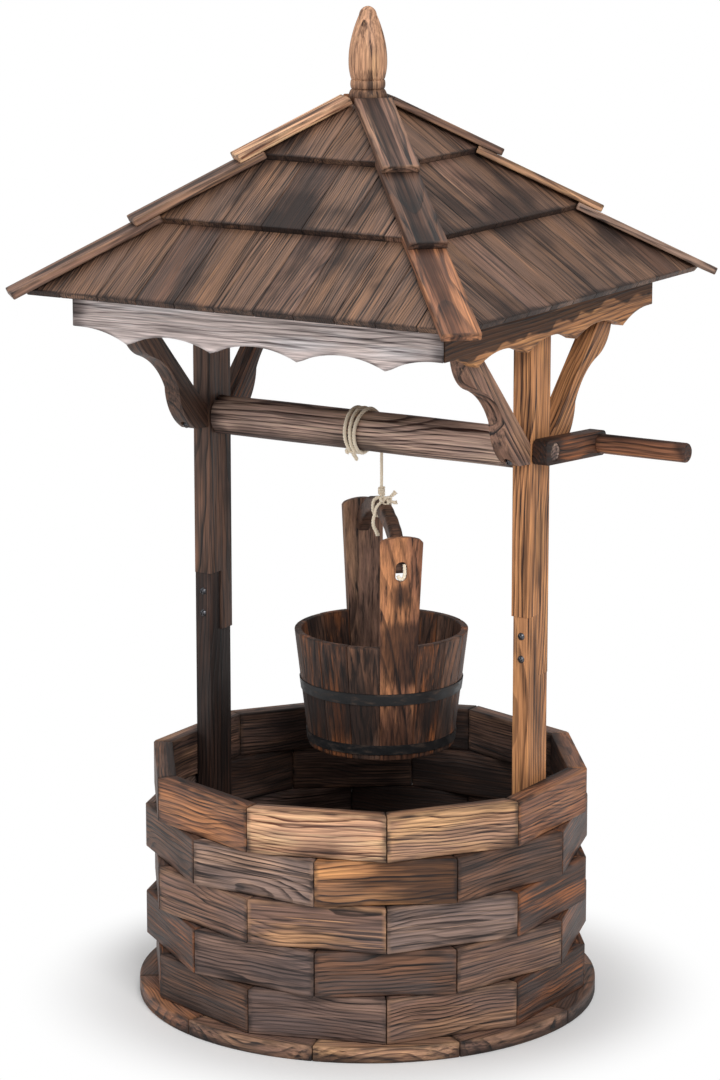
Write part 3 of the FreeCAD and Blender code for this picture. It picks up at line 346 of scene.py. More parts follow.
# Cream cord: fibres along each strand, a little darker here and there
def ropeMaterial():
    material, tree, skin = newMaterial("creamRope")
    fibre = tree.noise(tree.attribute("grain"), (420, 2.2, 60), 3.0, 0.6)
    stain = tree.noise(tree.attribute("grain"), (38, 0.6, 9))
    colour = tree.mix(tree.step(fibre, 0.3, 0.7), (0.86, 0.68, 0.48, 1), (1.0, 0.95, 0.82, 1))
    colour = tree.mix(tree.step(stain, 0.58, 0.8, 0.0, 0.35), colour, (0.55, 0.40, 0.25, 1))
    tree.feed(skin, {
        "Base Color": colour, "Normal": tree.bump(fibre, 0.8, 0.0003),
        "Roughness": 0.86, "Specular IOR Level": 0.2,
    })
    return material


# Painted or bare metal with faint scuffs and a slightly uneven face
def metalMaterial(name, colour, metallic, roughness, scuff):
    material, tree, skin = newMaterial(name)
    grime = tree.noise(tree.place(), (60, 60, 190), 4.0, 0.6)
    dents = tree.noise(tree.place(), (140, 140, 140))
    shade = tree.mix(tree.step(grime, 0.5, 0.72, 0.0, scuff), (*colour, 1), (0.17, 0.10, 0.065, 1))
    tree.feed(skin, {
        "Base Color": shade, "Metallic": metallic, "Normal": tree.bump(dents, 0.35, 0.0005),
        "Roughness": tree.step(grime, 0.3, 0.7, roughness - 0.1, roughness + 0.15),
    })
    return material


materials = {key: firMaterial(key) for key in firFinishes}
materials["rope"] = ropeMaterial()
materials["hoop"] = metalMaterial("hoopBlack", (0.009, 0.009, 0.010), 0.0, 0.45, 0.3)
materials["screw"] = metalMaterial("screwSteel", (0.11, 0.11, 0.12), 0.85, 0.42, 0.5)
print("materials made:", len(materials))


# Tones of the single boards, in screen values: light wood, dark lines, and the gold of flames and arrises
toneTable = {
    "gold": ((238, 182, 142), (104, 60, 40), (250, 206, 158)),
    "tan": ((216, 164, 128), (66, 38, 28), (240, 188, 136)),
    "ash": ((220, 184, 166), (66, 42, 36), (236, 204, 178)),
    "orange": ((196, 136, 90), (58, 32, 20), (234, 168, 108)),
    "rust": ((158, 106, 78), (46, 26, 19), (212, 144, 96)),
    "brown": ((146, 110, 92), (34, 23, 20), (186, 142, 110)),
    "grey": ((154, 128, 116), (46, 32, 29), (204, 164, 138)),
    "slate": ((232, 214, 208), (70, 56, 56), (246, 238, 238)),
    "plum": ((120, 96, 87), (36, 24, 22), (156, 124, 108)),
    "umber": ((100, 74, 61), (26, 17, 14), (140, 98, 74)),
    "zebra": ((138, 106, 92), (34, 23, 20), (244, 184, 134)),
    "shingle": ((130, 98, 79), (24, 16, 13), (170, 124, 90)),
    "dark": ((88, 61, 48), (26, 16, 14), (176, 106, 60)),
    "black": ((58, 42, 36), (18, 13, 12), (90, 60, 46)),
}


# Plan vectors turned by an angle in radians
def spun(vectors, angle):
    x, y = vectors[..., 0], vectors[..., 1]
    return np.stack([x * np.cos(angle) - y * np.sin(angle), x * np.sin(angle) + y * np.cos(angle)], -1)


def turned(vector, degrees):
    return np.append(spun(np.array(vector[:2], float), math.radians(degrees)), vector[2])


def polar(radius, angle):
    return np.stack([radius * np.cos(angle), radius * np.sin(angle)], -1)


def unit(vectors):
    return vectors / np.linalg.norm(vectors, axis=-1, keepdims=True)


# Faces over rows of points that each close on themselves, with a cap on the first and the last row
def gridFaces(rows, columns, flip=False):
    index = np.arange(rows * columns).reshape(rows, columns)
    ahead = np.roll(index, -1, 1)
    quads = np.stack([index[:-1], index[1:], ahead[1:], ahead[:-1]], -1).reshape(-1, 4)
    if flip:
        return {"quads": quads[:, [0, 3, 2, 1]], "caps": [index[0][::-1], index[-1]]}
    return {"quads": quads, "caps": [index[0], index[-1][::-1]]}


# The closed outline moved inwards by inset: a sharp corner is an arc of radius fillet less the inset,
# with one more point at margin on each side; a blunt one stays a single point
def insetRing(corners, inset, fillet, margin, cuts=3, sharp=25):
    before = corners - np.roll(corners, 1, 0)
    room = np.linalg.norm(before, axis=1)
    room = 0.3 * np.minimum(room, np.roll(room, -1))
    before = unit(before)
    after = np.roll(before, -1, 0)
    normal, nextNormal = spun(before, math.pi / 2), spun(after, math.pi / 2)
    turn = np.arctan2(before[:, 0] * after[:, 1] - before[:, 1] * after[:, 0], (before * after).sum(1))
    mitre = (normal + nextNormal) / (1 + (normal * nextNormal).sum(1))[:, None]
    isSharp = np.abs(turn) > math.radians(sharp)
    way = np.sign(turn)
    radius = way * isSharp * np.maximum(np.minimum(fillet, room) - inset * way, 0)
    copies = np.where(isSharp, cuts + 3, 1)
    who = np.repeat(np.arange(len(corners)), copies)
    step = np.arange(len(who)) - (np.cumsum(copies) - copies)[who]
    share = np.where(isSharp[who], np.clip((step - 1) / cuts, 0, 1), 0)
    points = corners[who] + mitre[who] * (inset + radius)[who, None]
    points = points - spun(normal[who], turn[who] * share) * radius[who, None]
    reach = np.minimum(margin, room)[who, None]
    isFirst = (isSharp[who] & (step == 0))[:, None]
    isLast = (isSharp[who] & (step == cuts + 2))[:, None]
    points = points - before[who] * reach * isFirst + after[who] * reach * isLast
    return points, isSharp[who] & (step > 0) & (step < cuts + 2)


# A board between two like outlines (counter-clockwise from above) at two heights: rings go from the
# upper face over a quarter round, down the sides and over the next quarter round; edges are the rounding
# of the arrises, the fillet of the corners and the margin beside them
def boardMesh(front, low, high, edges, back=None):
    back = front if back is None else back
    rounding, fillet, margin = edges
    depth = high - low
    margin = min(margin, depth * 0.3)
    quarter = np.radians([0, 30, 60, 90])
    steps = [(rounding + margin, 0.0, 0.0)]
    steps += [(rounding * (1 - math.sin(q)), rounding * (1 - math.cos(q)), 1.0) for q in quarter]
    steps += [(0.0, rounding + margin, 0.0)]
    rings, arris = [], []
    for inset, below, edge in steps + [(i, depth - b, e) for i, b, e in reversed(steps)]:
        points, onArris = insetRing(front + (back - front) * (below / depth), inset, fillet, margin)
        rings.append(np.column_stack([points, np.full(len(points), high - below)]))
        arris.append(np.maximum(onArris & (inset == 0), edge))
    faces = gridFaces(len(rings), len(rings[0]))
    return {"points": np.concatenate(rings), "arris": np.concatenate(arris), **faces}


# Sets a board, drawn with u along, v across and w out of its face, in the model's frame
def framed(board, along, across, normal, origin=(0, 0, 0)):
    board["local"] = board["points"]
    board["points"] = board["points"] @ np.array([along, across, normal], float) + np.array(origin, float)
    return board


# An upright board turned round the middle of the model
def standing(board, degrees=0.0):
    return framed(board, turned((1, 0, 0), degrees), turned((0, 1, 0), degrees), (0, 0, 1))


# Gives a board its grain coordinates in metres, about a pith behind its face, its place and its tones
def grained(board, tone, generator, axes=(0, 1, 2), soot=0.0, pith=None):
    local = board["local"][:, list(axes)] * mm
    middle = (local.min(0) + local.max(0)) / 2
    half = (local.max(0) - local.min(0)) / 2
    if pith is None:
        aside = generator.choice([-1, 1]) * generator.uniform(0.8, 2.2) * half[1]
        pith = (aside, -half[2] - generator.uniform(0.0, 0.012))
    shift = np.array([generator.uniform(0, 9), -pith[0], -pith[1]])
    board["grain"] = (local - middle) * np.array([generator.choice([-1, 1]), 1, 1]) + shift
    board["place"] = (local - middle) / np.maximum(half, 1e-6)
    board["soot"] = np.zeros(len(local)) + soot
    vary = generator.uniform(0.88, 1.08)
    for key, colour in zip(("lightTone", "darkTone", "flameTone"), toneTable[tone]):
        board[key] = np.tile(np.append(linear(*colour) * vary, 1.0), (len(local), 1))
    return board


pointKeys = ("grain", "place", "arris", "soot", "lightTone", "darkTone", "flameTone")
pointKinds = {1: ("FLOAT", "value"), 3: ("FLOAT_VECTOR", "vector"), 4: ("FLOAT_COLOR", "color")}


# Writes the point values to the mesh as numbers, vectors or colours
def paint(mesh, values):
    for key, array in values.items():
        kind, field = pointKinds[array.size // len(array)]
        data = mesh.attributes.new(key, kind, "POINT").data
        data.foreach_set(field, np.ascontiguousarray(array, np.float32).ravel())


# Joins boards into one object on a body that stands for a node of the model
def buildPiece(name, boards, material, body, node, smooth=50):
    faces, start = [], 0
    for board in boards:
        faces += (board["quads"] + start).tolist() + [(cap + start).tolist() for cap in board["caps"]]
        start += len(board["points"])
    mesh = bpy.data.meshes.new(name)
    mesh.from_pydata((np.concatenate([board["points"] for board in boards]) * mm).tolist(), [], faces)
    kept = [key for key in pointKeys if key in boards[0]]
    paint(mesh, {key: np.concatenate([board[key] for board in boards]) for key in kept})
    return finishPiece(name, mesh, material, body, node, smooth)


def finishPiece(name, mesh, material, body, node, smooth):
    work = bmesh.new()
    work.from_mesh(mesh)
    bmesh.ops.remove_doubles(work, verts=work.verts, dist=2e-6)
    bmesh.ops.dissolve_degenerate(work, edges=work.edges, dist=1e-6)
    work.to_mesh(mesh)
    work.free()
    mesh.shade_smooth()
    mesh.set_sharp_from_angle(angle=math.radians(smooth))
    mesh.materials.append(materials[material])
    piece = bpy.data.objects.new(name, mesh)
    scene.collection.objects.link(piece)
    if body:
        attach(piece, body)
    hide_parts(node)
    return piece


# A name such as roofLowerFront from words that may hold underscores
def nameOf(first, *words):
    return first + "".join(word.capitalize() for word in "_".join(words).split("_"))


# Points of a circular arc from first to last, bulging to the left of the way by a height
def arcBetween(first, last, bulge, count):
    first, last = np.array(first, float), np.array(last, float)
    chord = last - first
    half = np.linalg.norm(chord) / 2
    share = np.linspace(0, 1, count)
    if abs(bulge) < 1e-6:
        return first + chord * share[:, None]
    radius = (half * half + bulge * bulge) / (2 * abs(bulge))
    left = spun(chord, math.pi / 2) / (2 * half)
    sweep = 2 * math.asin(min(1, half / radius))
    centre = (first + last) / 2 - left * np.sign(bulge) * (radius - abs(bulge))
    return centre + spun((first - centre)[None], -sweep * share * np.sign(bulge))


# Long sides get points at every step, worn inwards by up to depth
def roughened(outline, step, depth, generator):
    kept = []
    for first, last in zip(outline, np.roll(outline, -1, 0)):
        count = max(int(np.linalg.norm(last - first) // step), 1)
        share = np.arange(1, count) / count
        wear = generator.uniform(0, depth, len(share)) * np.sin(share * math.pi) ** 0.3
        inward = spun(unit(last - first), math.pi / 2)
        kept += [first[None], first + (last - first) * share[:, None] + inward * wear[:, None]]
    return np.concatenate(kept)


# Keeps the part of a convex outline where normal . point is at most the limit
def clipConvex(polygon, normal, limit):
    side = polygon @ np.array(normal, float) - limit
    kept = []
    for here in range(len(polygon)):
        there = (here + 1) % len(polygon)
        if side[here] <= 0:
            kept.append(polygon[here])
        if (side[here] < 0 < side[there]) or (side[there] < 0 < side[here]):
            way = polygon[there] - polygon[here]
            kept.append(polygon[here] + way * side[here] / (side[here] - side[there]))
    return np.array(kept)


def rectangle(left, low, right, high):
    return np.array([(left, low), (right, low), (right, high), (left, high)], float)


# Well: base ring, five courses and the floor
wellPlan = {
    "boards": 10, "ringOutside": 264, "ringInside": 190, "ringHeight": 18, "jointGap": 0.9,
    "outside": 256, "thickness": 22, "courseHeight": 52, "courses": 5,
    "slatWidth": 58, "slatGap": 10, "slats": 7, "slatReach": 256, "middleSlatReach": 198.5,
    "floorThickness": 12, "floorGap": 2, "courseGap": 0.25, "unevenFace": 0.7, "unevenTop": (0.2, 0.5),
    "ringEdges": (1.6, 1.2, 3.5), "boardEdges": (1.6, 1.3, 4.0), "slatEdges": (1.0, 1.0, 3.0),
    # degrees round to the first board's middle; the odd courses start half a board earlier
    "evenStart": -126, "oddStart": -144,
}
ringTones = "rust brown tan brown umber brown grey brown rust umber"
courseTones = {
    5: "umber rust gold tan rust rust brown umber brown brown",
    4: "umber grey orange umber dark brown umber brown umber grey",
    3: "umber brown zebra grey dark dark brown umber plum umber",
    2: "dark plum umber brown dark brown brown umber plum umber",
    1: "dark umber plum brown dark dark brown umber brown umber",
}
# Smoke on single boards: where it starts and is full along the board, -1 to 1, and how much
courseSmoke = {
    (5, 2): (0.5, -0.1, 0.10), (4, 2): (-0.2, 0.35, 0.42), (3, 3): (0.2, 0.7, 0.12), (5, 3): (0.6, 1.0, 0.12),
}


# Each board is a tenth of a flat ring, a little narrower at its ends
def makeBaseRing(plan):
    generator = seeded(11)
    boards = []
    half = math.pi / plan["boards"]
    gap = plan["jointGap"] / 2 / plan["ringOutside"]
    reach = np.linspace(-half, half, 13)
    inner = polar(plan["ringInside"], reach[::-1])
    inner[:, 1] *= 1 - gap * 1.4 / half
    outline = np.concatenate([polar(plan["ringOutside"], reach * (1 - gap / half)), inner])
    for number, tone in enumerate(ringTones.split()):
        board = boardMesh(outline, 0, plan["ringHeight"], plan["ringEdges"])
        board = standing(board, plan["evenStart"] + 360 / plan["boards"] * number)
        boards.append(grained(board, tone, generator, (1, 0, 2), soot=0.05))
    return buildPiece("wellBaseRing", boards, "wall", "frame", "base_ring")


# Each board is a trapezoid in plan, its outer face on the ten-sided outline
def makeCourse(plan, number):
    generator = seeded(100 + number)
    half = math.pi / plan["boards"]
    apothem = plan["outside"] * math.cos(half)
    gap = plan["jointGap"] / 2 / math.cos(half)
    low = plan["ringHeight"] + (number - 1) * plan["courseHeight"]
    first = plan["oddStart"] if number % 2 else plan["evenStart"]
    boards = []
    for place, tone in enumerate(courseTones[number].split()):
        outer, inner = apothem - generator.uniform(0, plan["unevenFace"]), apothem - plan["thickness"]
        corners = ((outer, -1), (outer, 1), (inner, 1), (inner, -1))
        outline = np.array([(x, way * (x * math.tan(half) - gap)) for x, way in corners])
        top = low + plan["courseHeight"] - generator.uniform(*plan["unevenTop"])
        board = boardMesh(outline, low + plan["courseGap"], top, plan["boardEdges"])
        board = standing(board, first + 360 / plan["boards"] * place)
        along = board["local"][:, 1] / np.abs(board["local"][:, 1]).max()
        start, full, smoke = courseSmoke.get((number, place), (0, 1, 0))
        soot = smoke * np.clip((along - start) / (full - start), 0, 1)
        boards.append(grained(board, tone, generator, (1, 2, 0), soot=soot))
    return buildPiece(f"wellCourse{number}", boards, "wall", "frame", f"wall_course_{number}")


# Slats side by side, clipped to the ten sides of the wall's inside
def makeFloor(plan):
    generator = seeded(61)
    angles = np.arange(plan["boards"]) * 2 * math.pi / plan["boards"]
    apothem = plan["outside"] * math.cos(math.pi / plan["boards"]) - plan["thickness"] - plan["floorGap"]
    low = plan["ringHeight"]
    boards = []
    for number in range(plan["slats"]):
        middle = (number - (plan["slats"] - 1) / 2) * (plan["slatWidth"] + plan["slatGap"])
        reach = plan["middleSlatReach"] if number == plan["slats"] // 2 else plan["slatReach"]
        outline = rectangle(-reach, middle - plan["slatWidth"] / 2, reach, middle + plan["slatWidth"] / 2)
        for angle in angles:
            outline = clipConvex(outline, polar(1, angle), apothem)
        board = boardMesh(outline, low, low + plan["floorThickness"], plan["slatEdges"])
        boards.append(grained(standing(board), "umber" if number % 2 else "dark", generator, soot=0.1))
    return buildPiece("wellFloor", boards, "wall", "frame", "floor_slats")


makeBaseRing(wellPlan)
for courseNumber in range(1, wellPlan["courses"] + 1):
    makeCourse(wellPlan, courseNumber)
makeFloor(wellPlan)
print("well made")


# Roof: planks, hip battens and fascia; the half widths are those of the three tiers' eaves
roofPlan = {
    "pitch": 34.5, "plankThickness": 8, "plankWidth": 49.5, "plankGap": 0.7, "mitreGap": 0.5,
    "halves": (271, 175, 92.5), "eaveHeight": 823, "overlap": 30, "crownHalf": 17,
    "battenWidth": 43, "battenOverhang": 11, "battenGroove": 3, "battenTop": 21.7, "seatGap": 0.3,
    "fasciaOutside": 236.17, "fasciaThickness": 15, "fasciaBottom": 787, "dropDepth": 15, "dropPitch": 109.5,
    "archFall": 3, "fasciaFlat": 13, "fasciaGap": 0.42, "plankEdges": (0.7, 0.6, 1.8),
    "battenEdges": (1.3, 1.5, 3.0), "fasciaEdges": (1.1, 1.0, 2.5), "battenWear": (28, 0.5),
}
pitch = math.radians(roofPlan["pitch"])
plankRise = roofPlan["plankThickness"] / math.cos(pitch)
plankLean = roofPlan["plankThickness"] * math.sin(pitch)
roofSides = {"front": 0, "right": 90, "back": 180, "left": 270}
roofHips = {"front_right": -45, "back_right": 45, "back_left": 135, "front_left": 225}
plankTones = "shingle shingle shingle umber shingle shingle brown shingle shingle"
tierSoot = {"lower": 0.0, "middle": 0.12, "upper": 0.03}
tierSeeds = {"lower": 10, "middle": 40, "upper": 70}
fasciaTones = "slate orange grey rust"
battenTones = {
    "lower": "rust grey umber brown", "middle": "umber tan brown brown",
    "upper": "brown brown rust gold",
}


# Each tier's half width and height at its eave, and its half width where it ends
def tiersOf(plan):
    tiers, height = {}, plan["eaveHeight"]
    above = [half - plan["overlap"] for half in plan["halves"][1:]] + [plan["crownHalf"]]
    for name, half, inner in zip(tierSeeds, plan["halves"], above):
        tiers[name] = (half, height, inner)
        height += (half - inner - plan["overlap"]) * math.tan(pitch) + plankRise
    return tiers


def roofTop(tier, half):
    edge, height, _ = roofTiers[tier]
    return height + plankRise + (edge - half) * math.tan(pitch)


roofTiers = tiersOf(roofPlan)
hipCos = 1 / math.sqrt(1 + math.tan(pitch) ** 2 / 2)
hipSin = hipCos * math.tan(pitch) / math.sqrt(2)
battenThickness = plankRise * hipCos - roofPlan["seatGap"]
finialSeat = roofTop("upper", roofPlan["crownHalf"] + plankLean) + roofPlan["seatGap"]


# Planks up the slope of one side, drawn towards the front: u across, v up the slope
def makeRoofSide(plan, tier, side):
    half, height, inner = roofTiers[tier]
    angle = roofSides[side]
    generator = seeded(200 + tierSeeds[tier] + angle)
    reach = half + plankLean
    count = round(2 * reach / plan["plankWidth"])
    tones = plankTones.split()
    run = (half - inner) / math.cos(pitch)
    right, up = turned((1, 0, 0), angle), turned((0, math.cos(pitch), math.sin(pitch)), angle)
    origin = turned((0, -reach, height + plan["plankThickness"] * math.cos(pitch)), angle)
    boards = []
    for number in range(count):
        low, high = ((number + more - count / 2) / count * 2 * reach for more in (0, 1))
        outlines = []
        for edge in (reach - plan["mitreGap"], half - plan["mitreGap"]):
            outline = rectangle(low + plan["plankGap"] / 2, 0, high - plan["plankGap"] / 2, run)
            for way in (-1, 1):
                outline = clipConvex(outline, (way, math.cos(pitch)), edge)
            outlines.append(outline)
        if len(outlines[0]) < 3 or len(outlines[0]) != len(outlines[1]):
            outlines[1] = outlines[0]
        board = boardMesh(outlines[0], -plan["plankThickness"], 0, plan["plankEdges"], outlines[1])
        board = framed(board, right, up, np.cross(right, up), origin)
        tone = tones[(number + angle // 30) % len(tones)]
        soot = tierSoot[tier] + generator.uniform(-0.03, 0.03)
        boards.append(grained(board, tone, generator, (1, 0, 2), soot=soot))
    return buildPiece(nameOf("roof", tier, side), boards, "roof", "frame", f"roof_{tier}_{side}")


# A flat board along the hip: u up the hip, v across it, w out of its face; the lower two are notched
# round the corner of the tier above
def makeBatten(plan, tier, hip, tone):
    generator = seeded(300 + tierSeeds[tier] + roofHips[hip] % 89)
    number = list(roofTiers).index(tier)
    topReach = plan["battenTop"]
    if number < 2:
        topReach = (plan["halves"][number + 1] + plankLean) * math.sqrt(2) + plan["seatGap"]
    lowReach = (plan["halves"][number] + plankLean) * math.sqrt(2) + plan["battenOverhang"]
    height = roofTop(tier, lowReach / math.sqrt(2)) - plan["battenGroove"] / hipCos
    length = (lowReach - topReach) / hipCos
    wide = plan["battenWidth"] / 2
    outline = rectangle(0, -wide, length, wide)
    if number < 2:
        ear = length + wide / hipCos
        outline = np.array([(0, -wide), (ear, -wide), (length, 0), (ear, wide), (0, wide)], float)
    along, normal, origin = (turned(way, roofHips[hip]) for way in (
        (-hipCos, 0, hipSin), (hipSin, 0, hipCos), (lowReach, 0, height)))
    outline = roughened(outline, *plan["battenWear"], generator)
    board = boardMesh(outline, 0, battenThickness, plan["battenEdges"])
    board = framed(board, along, np.cross(normal, along), normal, origin)
    pith = (generator.uniform(-0.004, 0.004), -generator.uniform(0.012, 0.05))
    board = grained(board, tone, generator, soot=generator.uniform(-0.05, 0.04), pith=pith)
    return buildPiece(nameOf("batten", tier, hip), [board], "batten", "frame", f"hip_batten_{tier}_{hip}")


# Scalloped board: straight ends, three full arches and a half arch at each end, ends mitred
def makeFascia(plan, side, tone):
    generator = seeded(410 + roofSides[side])
    outside, bottom = plan["fasciaOutside"], plan["fasciaBottom"]
    flat = outside - plan["fasciaFlat"]
    stops = [(-flat, bottom)]
    stops += [((number - 1.5) * plan["dropPitch"], bottom - plan["dropDepth"]) for number in range(4)]
    stops += [(flat, bottom)]
    rise = plan["dropDepth"] - plan["archFall"]
    bulges = [rise * 0.3, rise, rise, rise, rise * 0.3]
    lower = [arcBetween(*ends, bulge, 15)[:-1] for ends, bulge in zip(zip(stops, stops[1:]), bulges)]
    lower = np.concatenate([*lower, [stops[-1]]])
    spread = np.arange(len(lower)) * 0.05
    inner = outside - plan["fasciaThickness"]
    outlines = []
    for half in (outside - plan["fasciaGap"], inner - plan["fasciaGap"]):
        top = plan["eaveHeight"] + (plan["halves"][0] - half - plan["fasciaGap"]) * math.tan(pitch)
        x = np.clip(lower[:, 0], -half + 0.6 + spread, half - 0.6 - spread[::-1])
        scallops = np.column_stack([x, np.interp(x, *lower.T)])
        upper = [(half, bottom), (half, top), (-half, top)]
        outlines.append(np.concatenate([[(-half, bottom)], scallops, upper]))
    board = boardMesh(outlines[0], 0, plan["fasciaThickness"], plan["fasciaEdges"], outlines[1])
    right, out, origin = (turned(way, roofSides[side]) for way in ((1, 0, 0), (0, -1, 0), (0, -inner, 0)))
    board = grained(framed(board, right, (0, 0, 1), out, origin), tone, generator)
    finish = "fascia" if side in ("front", "back") else "burntFascia"
    return buildPiece(nameOf("fascia", side), [board], finish, "frame", f"fascia_{side}")


for tierName in roofTiers:
    for sideName in roofSides:
        makeRoofSide(roofPlan, tierName, sideName)
    for hipName, toneName in zip(roofHips, battenTones[tierName].split()):
        makeBatten(roofPlan, tierName, hipName, toneName)
for sideName, toneName in zip(roofSides, fasciaTones.split()):
    makeFascia(roofPlan, sideName, toneName)
print("roof made")


# Turned pieces: points (radius, place) carried round the w axis; uneven adds slow waves to the radius
def turnedMesh(profile, segments, uneven=0.0, generator=None):
    profile = np.asarray(profile, float)
    angle = np.arange(segments) * 2 * math.pi / segments
    wobble = np.ones(segments)
    if uneven:
        phases = generator.uniform(0, 2 * math.pi, 4)
        wobble += uneven * sum(np.sin((k + 2) * angle + p) for k, p in enumerate(phases)) / 4
    places = np.repeat(profile[:, 1:, None], segments, 1)
    points = np.concatenate([polar(profile[:, :1] * wobble, angle), places], -1).reshape(-1, 3)
    return {"points": points, "arris": np.zeros(len(points)), **gridFaces(len(profile), segments, True)}


# Height share, radius share, and bulge of the way to the next point
finialPlan = {
    "height": 106, "radius": 21.4, "foot": (0.82, 0.86), "shape": [
        (0, 0.88, 0.12), (0.14, 0.87, 0), (0.147, 0.83, 0), (0.155, 0.88, 0.03), (0.235, 0.88, 0),
        (0.243, 0.84, 0), (0.255, 0.88, 0.03), (0.42, 1, 0.04), (0.67, 0.86, 0.03), (0.91, 0.46, 0.1),
        (1.0, 0.06, 0),
    ],
}


def makeFinial(plan):
    generator = seeded(77)
    radius = plan["radius"]
    stops = [(radius * share, plan["height"] * level) for level, share, _ in plan["shape"]]
    profile = [[(radius * plan["foot"][0], 0.0), (radius * plan["foot"][1], 0.3)]]
    for ends, (_, _, bulge) in zip(zip(stops, stops[1:]), plan["shape"]):
        profile.append(arcBetween(*ends, -bulge * radius, 12 if bulge else 4)[min(len(profile) - 1, 1):])
    profile = np.concatenate(profile)
    profile[:, 1] = np.maximum.accumulate(profile[:, 1])
    mesh = framed(turnedMesh(profile, 72), (1, 0, 0), (0, 1, 0), (0, 0, 1), (0, 0, finialSeat))
    soot = np.clip(1.2 - mesh["local"][:, 2] / 34, 0, 1) * 0.34
    grained(mesh, "tan", generator, (2, 0, 1), soot=soot, pith=(0.006, -0.020))
    return buildPiece("finialTurned", [mesh], "finial", "frame", "finial", 40)


makeFinial(finialPlan)
print("finial made")


# Windlass: the log with its journals and the dowel handle, drawn along X
windlassPlan = {
    "height": 655, "logRadius": 23, "logHalf": 198.17, "journal": 10, "left": -221.5, "armInside": 222.17,
    "armOutside": 240.17, "gripRadius": 11, "gripEnd": 350.17, "gripOffset": 104, "tenon": 7, "droop": 4,
}


def alongX(mesh, origin):
    return framed(mesh, (0, 1, 0), (0, 0, 1), (1, 0, 0), origin)


def makeLog(plan):
    generator = seeded(91)
    half, radius, journal = plan["logHalf"], plan["logRadius"], plan["journal"]
    left, right = plan["left"], plan["armOutside"]
    places = np.linspace(-half + 3, half - 3, 41)
    wear = 0.35 * np.sin(places / 37) * np.sin(places / 90 + 1)
    profile = [
        (1.0, left), (journal - 1, left), (journal, left + 1), (journal, -half), (radius - 2.5, -half),
        (radius - 0.6, -half + 0.9), *zip(radius - 0.4 + wear, places), (radius - 0.6, half - 0.9),
        (radius - 2.5, half), (journal, half), (journal, right - 1), (journal - 1, right - 0.1),
        (1.0, right - 0.1),
    ]
    mesh = alongX(turnedMesh(profile, 72, 0.008, generator), (0, 0, plan["height"]))
    x, z = mesh["local"][:, 2], mesh["local"][:, 1]
    # The log is darker underneath and towards both ends beside the posts: painted shade, carried in the soot
    # values
    soot = 0.3 * np.clip(0.2 - z / radius, 0, 1) + 0.3 * np.clip((np.abs(x) - half + 22) / 20, 0, 1)
    grained(mesh, "ash", generator, (2, 0, 1), soot=soot, pith=(0.003, -0.028))
    return buildPiece("windlassLog", [mesh], "log", "windlass", "roller", 35)


def makeGrip(plan):
    generator = seeded(95)
    radius, tenon, inside, outside, end = (plan[key] for key in (
        "gripRadius", "tenon", "armInside", "armOutside", "gripEnd"))
    profile = [
        (1.0, inside + 0.1), (tenon, inside + 0.1), (tenon, outside + 0.1), (radius - 0.7, outside + 0.1),
        *((radius, x) for x in np.linspace(outside + 1, end - 3, 17)),
        (radius - 0.6, end - 1.2), (radius - 2.0, end), (1.0, end),
    ]
    droop = math.radians(plan["droop"])
    origin = (0, plan["gripOffset"] * math.cos(droop), plan["height"] - plan["gripOffset"] * math.sin(droop))
    mesh = alongX(turnedMesh(profile, 48, 0.012, generator), origin)
    x, z = mesh["local"][:, 2], mesh["local"][:, 1]
    soot = 0.30 * np.clip(z / radius, -0.4, 1) + 0.35 * np.clip((x - end + 14) / 12, 0, 1)
    grained(mesh, "rust", generator, (2, 0, 1), soot=soot, pith=(0.002, -0.022))
    return buildPiece("crankGrip", [mesh], "dark", "windlass", "crank_handle", 40)


makeLog(windlassPlan)
makeGrip(windlassPlan)
print("windlass made")


# A merged copy of a node with flat faces joined and sharp edges rounded; the grain follows the axes, and
# split divides it into two boards with a tone and soot each
def copyPiece(name, node, material, body, tones, axes, seed, rounding=1.0, soot=(0.0,), split=None):
    generator = seeded(seed)
    mesh = cadNodes[node].data.copy()
    mesh.name = name
    mesh.materials.clear()
    work = bmesh.new()
    work.from_mesh(mesh)
    bmesh.ops.remove_doubles(work, verts=work.verts, dist=1e-5)
    bmesh.ops.dissolve_limit(work, angle_limit=math.radians(0.6), verts=work.verts, edges=work.edges)
    edges = [edge for edge in work.edges if edge.is_manifold and edge.calc_face_angle(0) > math.radians(35)]
    made = bmesh.ops.bevel(
        work, geom=edges, offset=rounding * mm, segments=3, profile=0.5, affect="EDGES", clamp_overlap=True)
    curved = {face for face in made["faces"] if face.is_valid}
    arris = np.array([bool(v.link_faces) and curved.issuperset(v.link_faces) for v in work.verts], float)
    work.to_mesh(mesh)
    work.free()
    points = np.zeros(len(mesh.vertices) * 3, np.float32)
    mesh.vertices.foreach_get("co", points)
    local = points.reshape(-1, 3).astype(float) @ np.array(axes, float).T / mm
    parts = [np.ones(len(local), bool)] if split is None else [split(local), ~split(local)]
    values = {}
    for part, tone, level in zip(parts, tones, soot):
        board = grained({"local": local[part], "arris": arris[part]}, tone, generator, soot=level)
        for key in pointKeys:
            values.setdefault(key, np.zeros((len(local), *board[key].shape[1:])))[part] = board[key]
    paint(mesh, values)
    return finishPiece(name, mesh, material, body, node, 45)


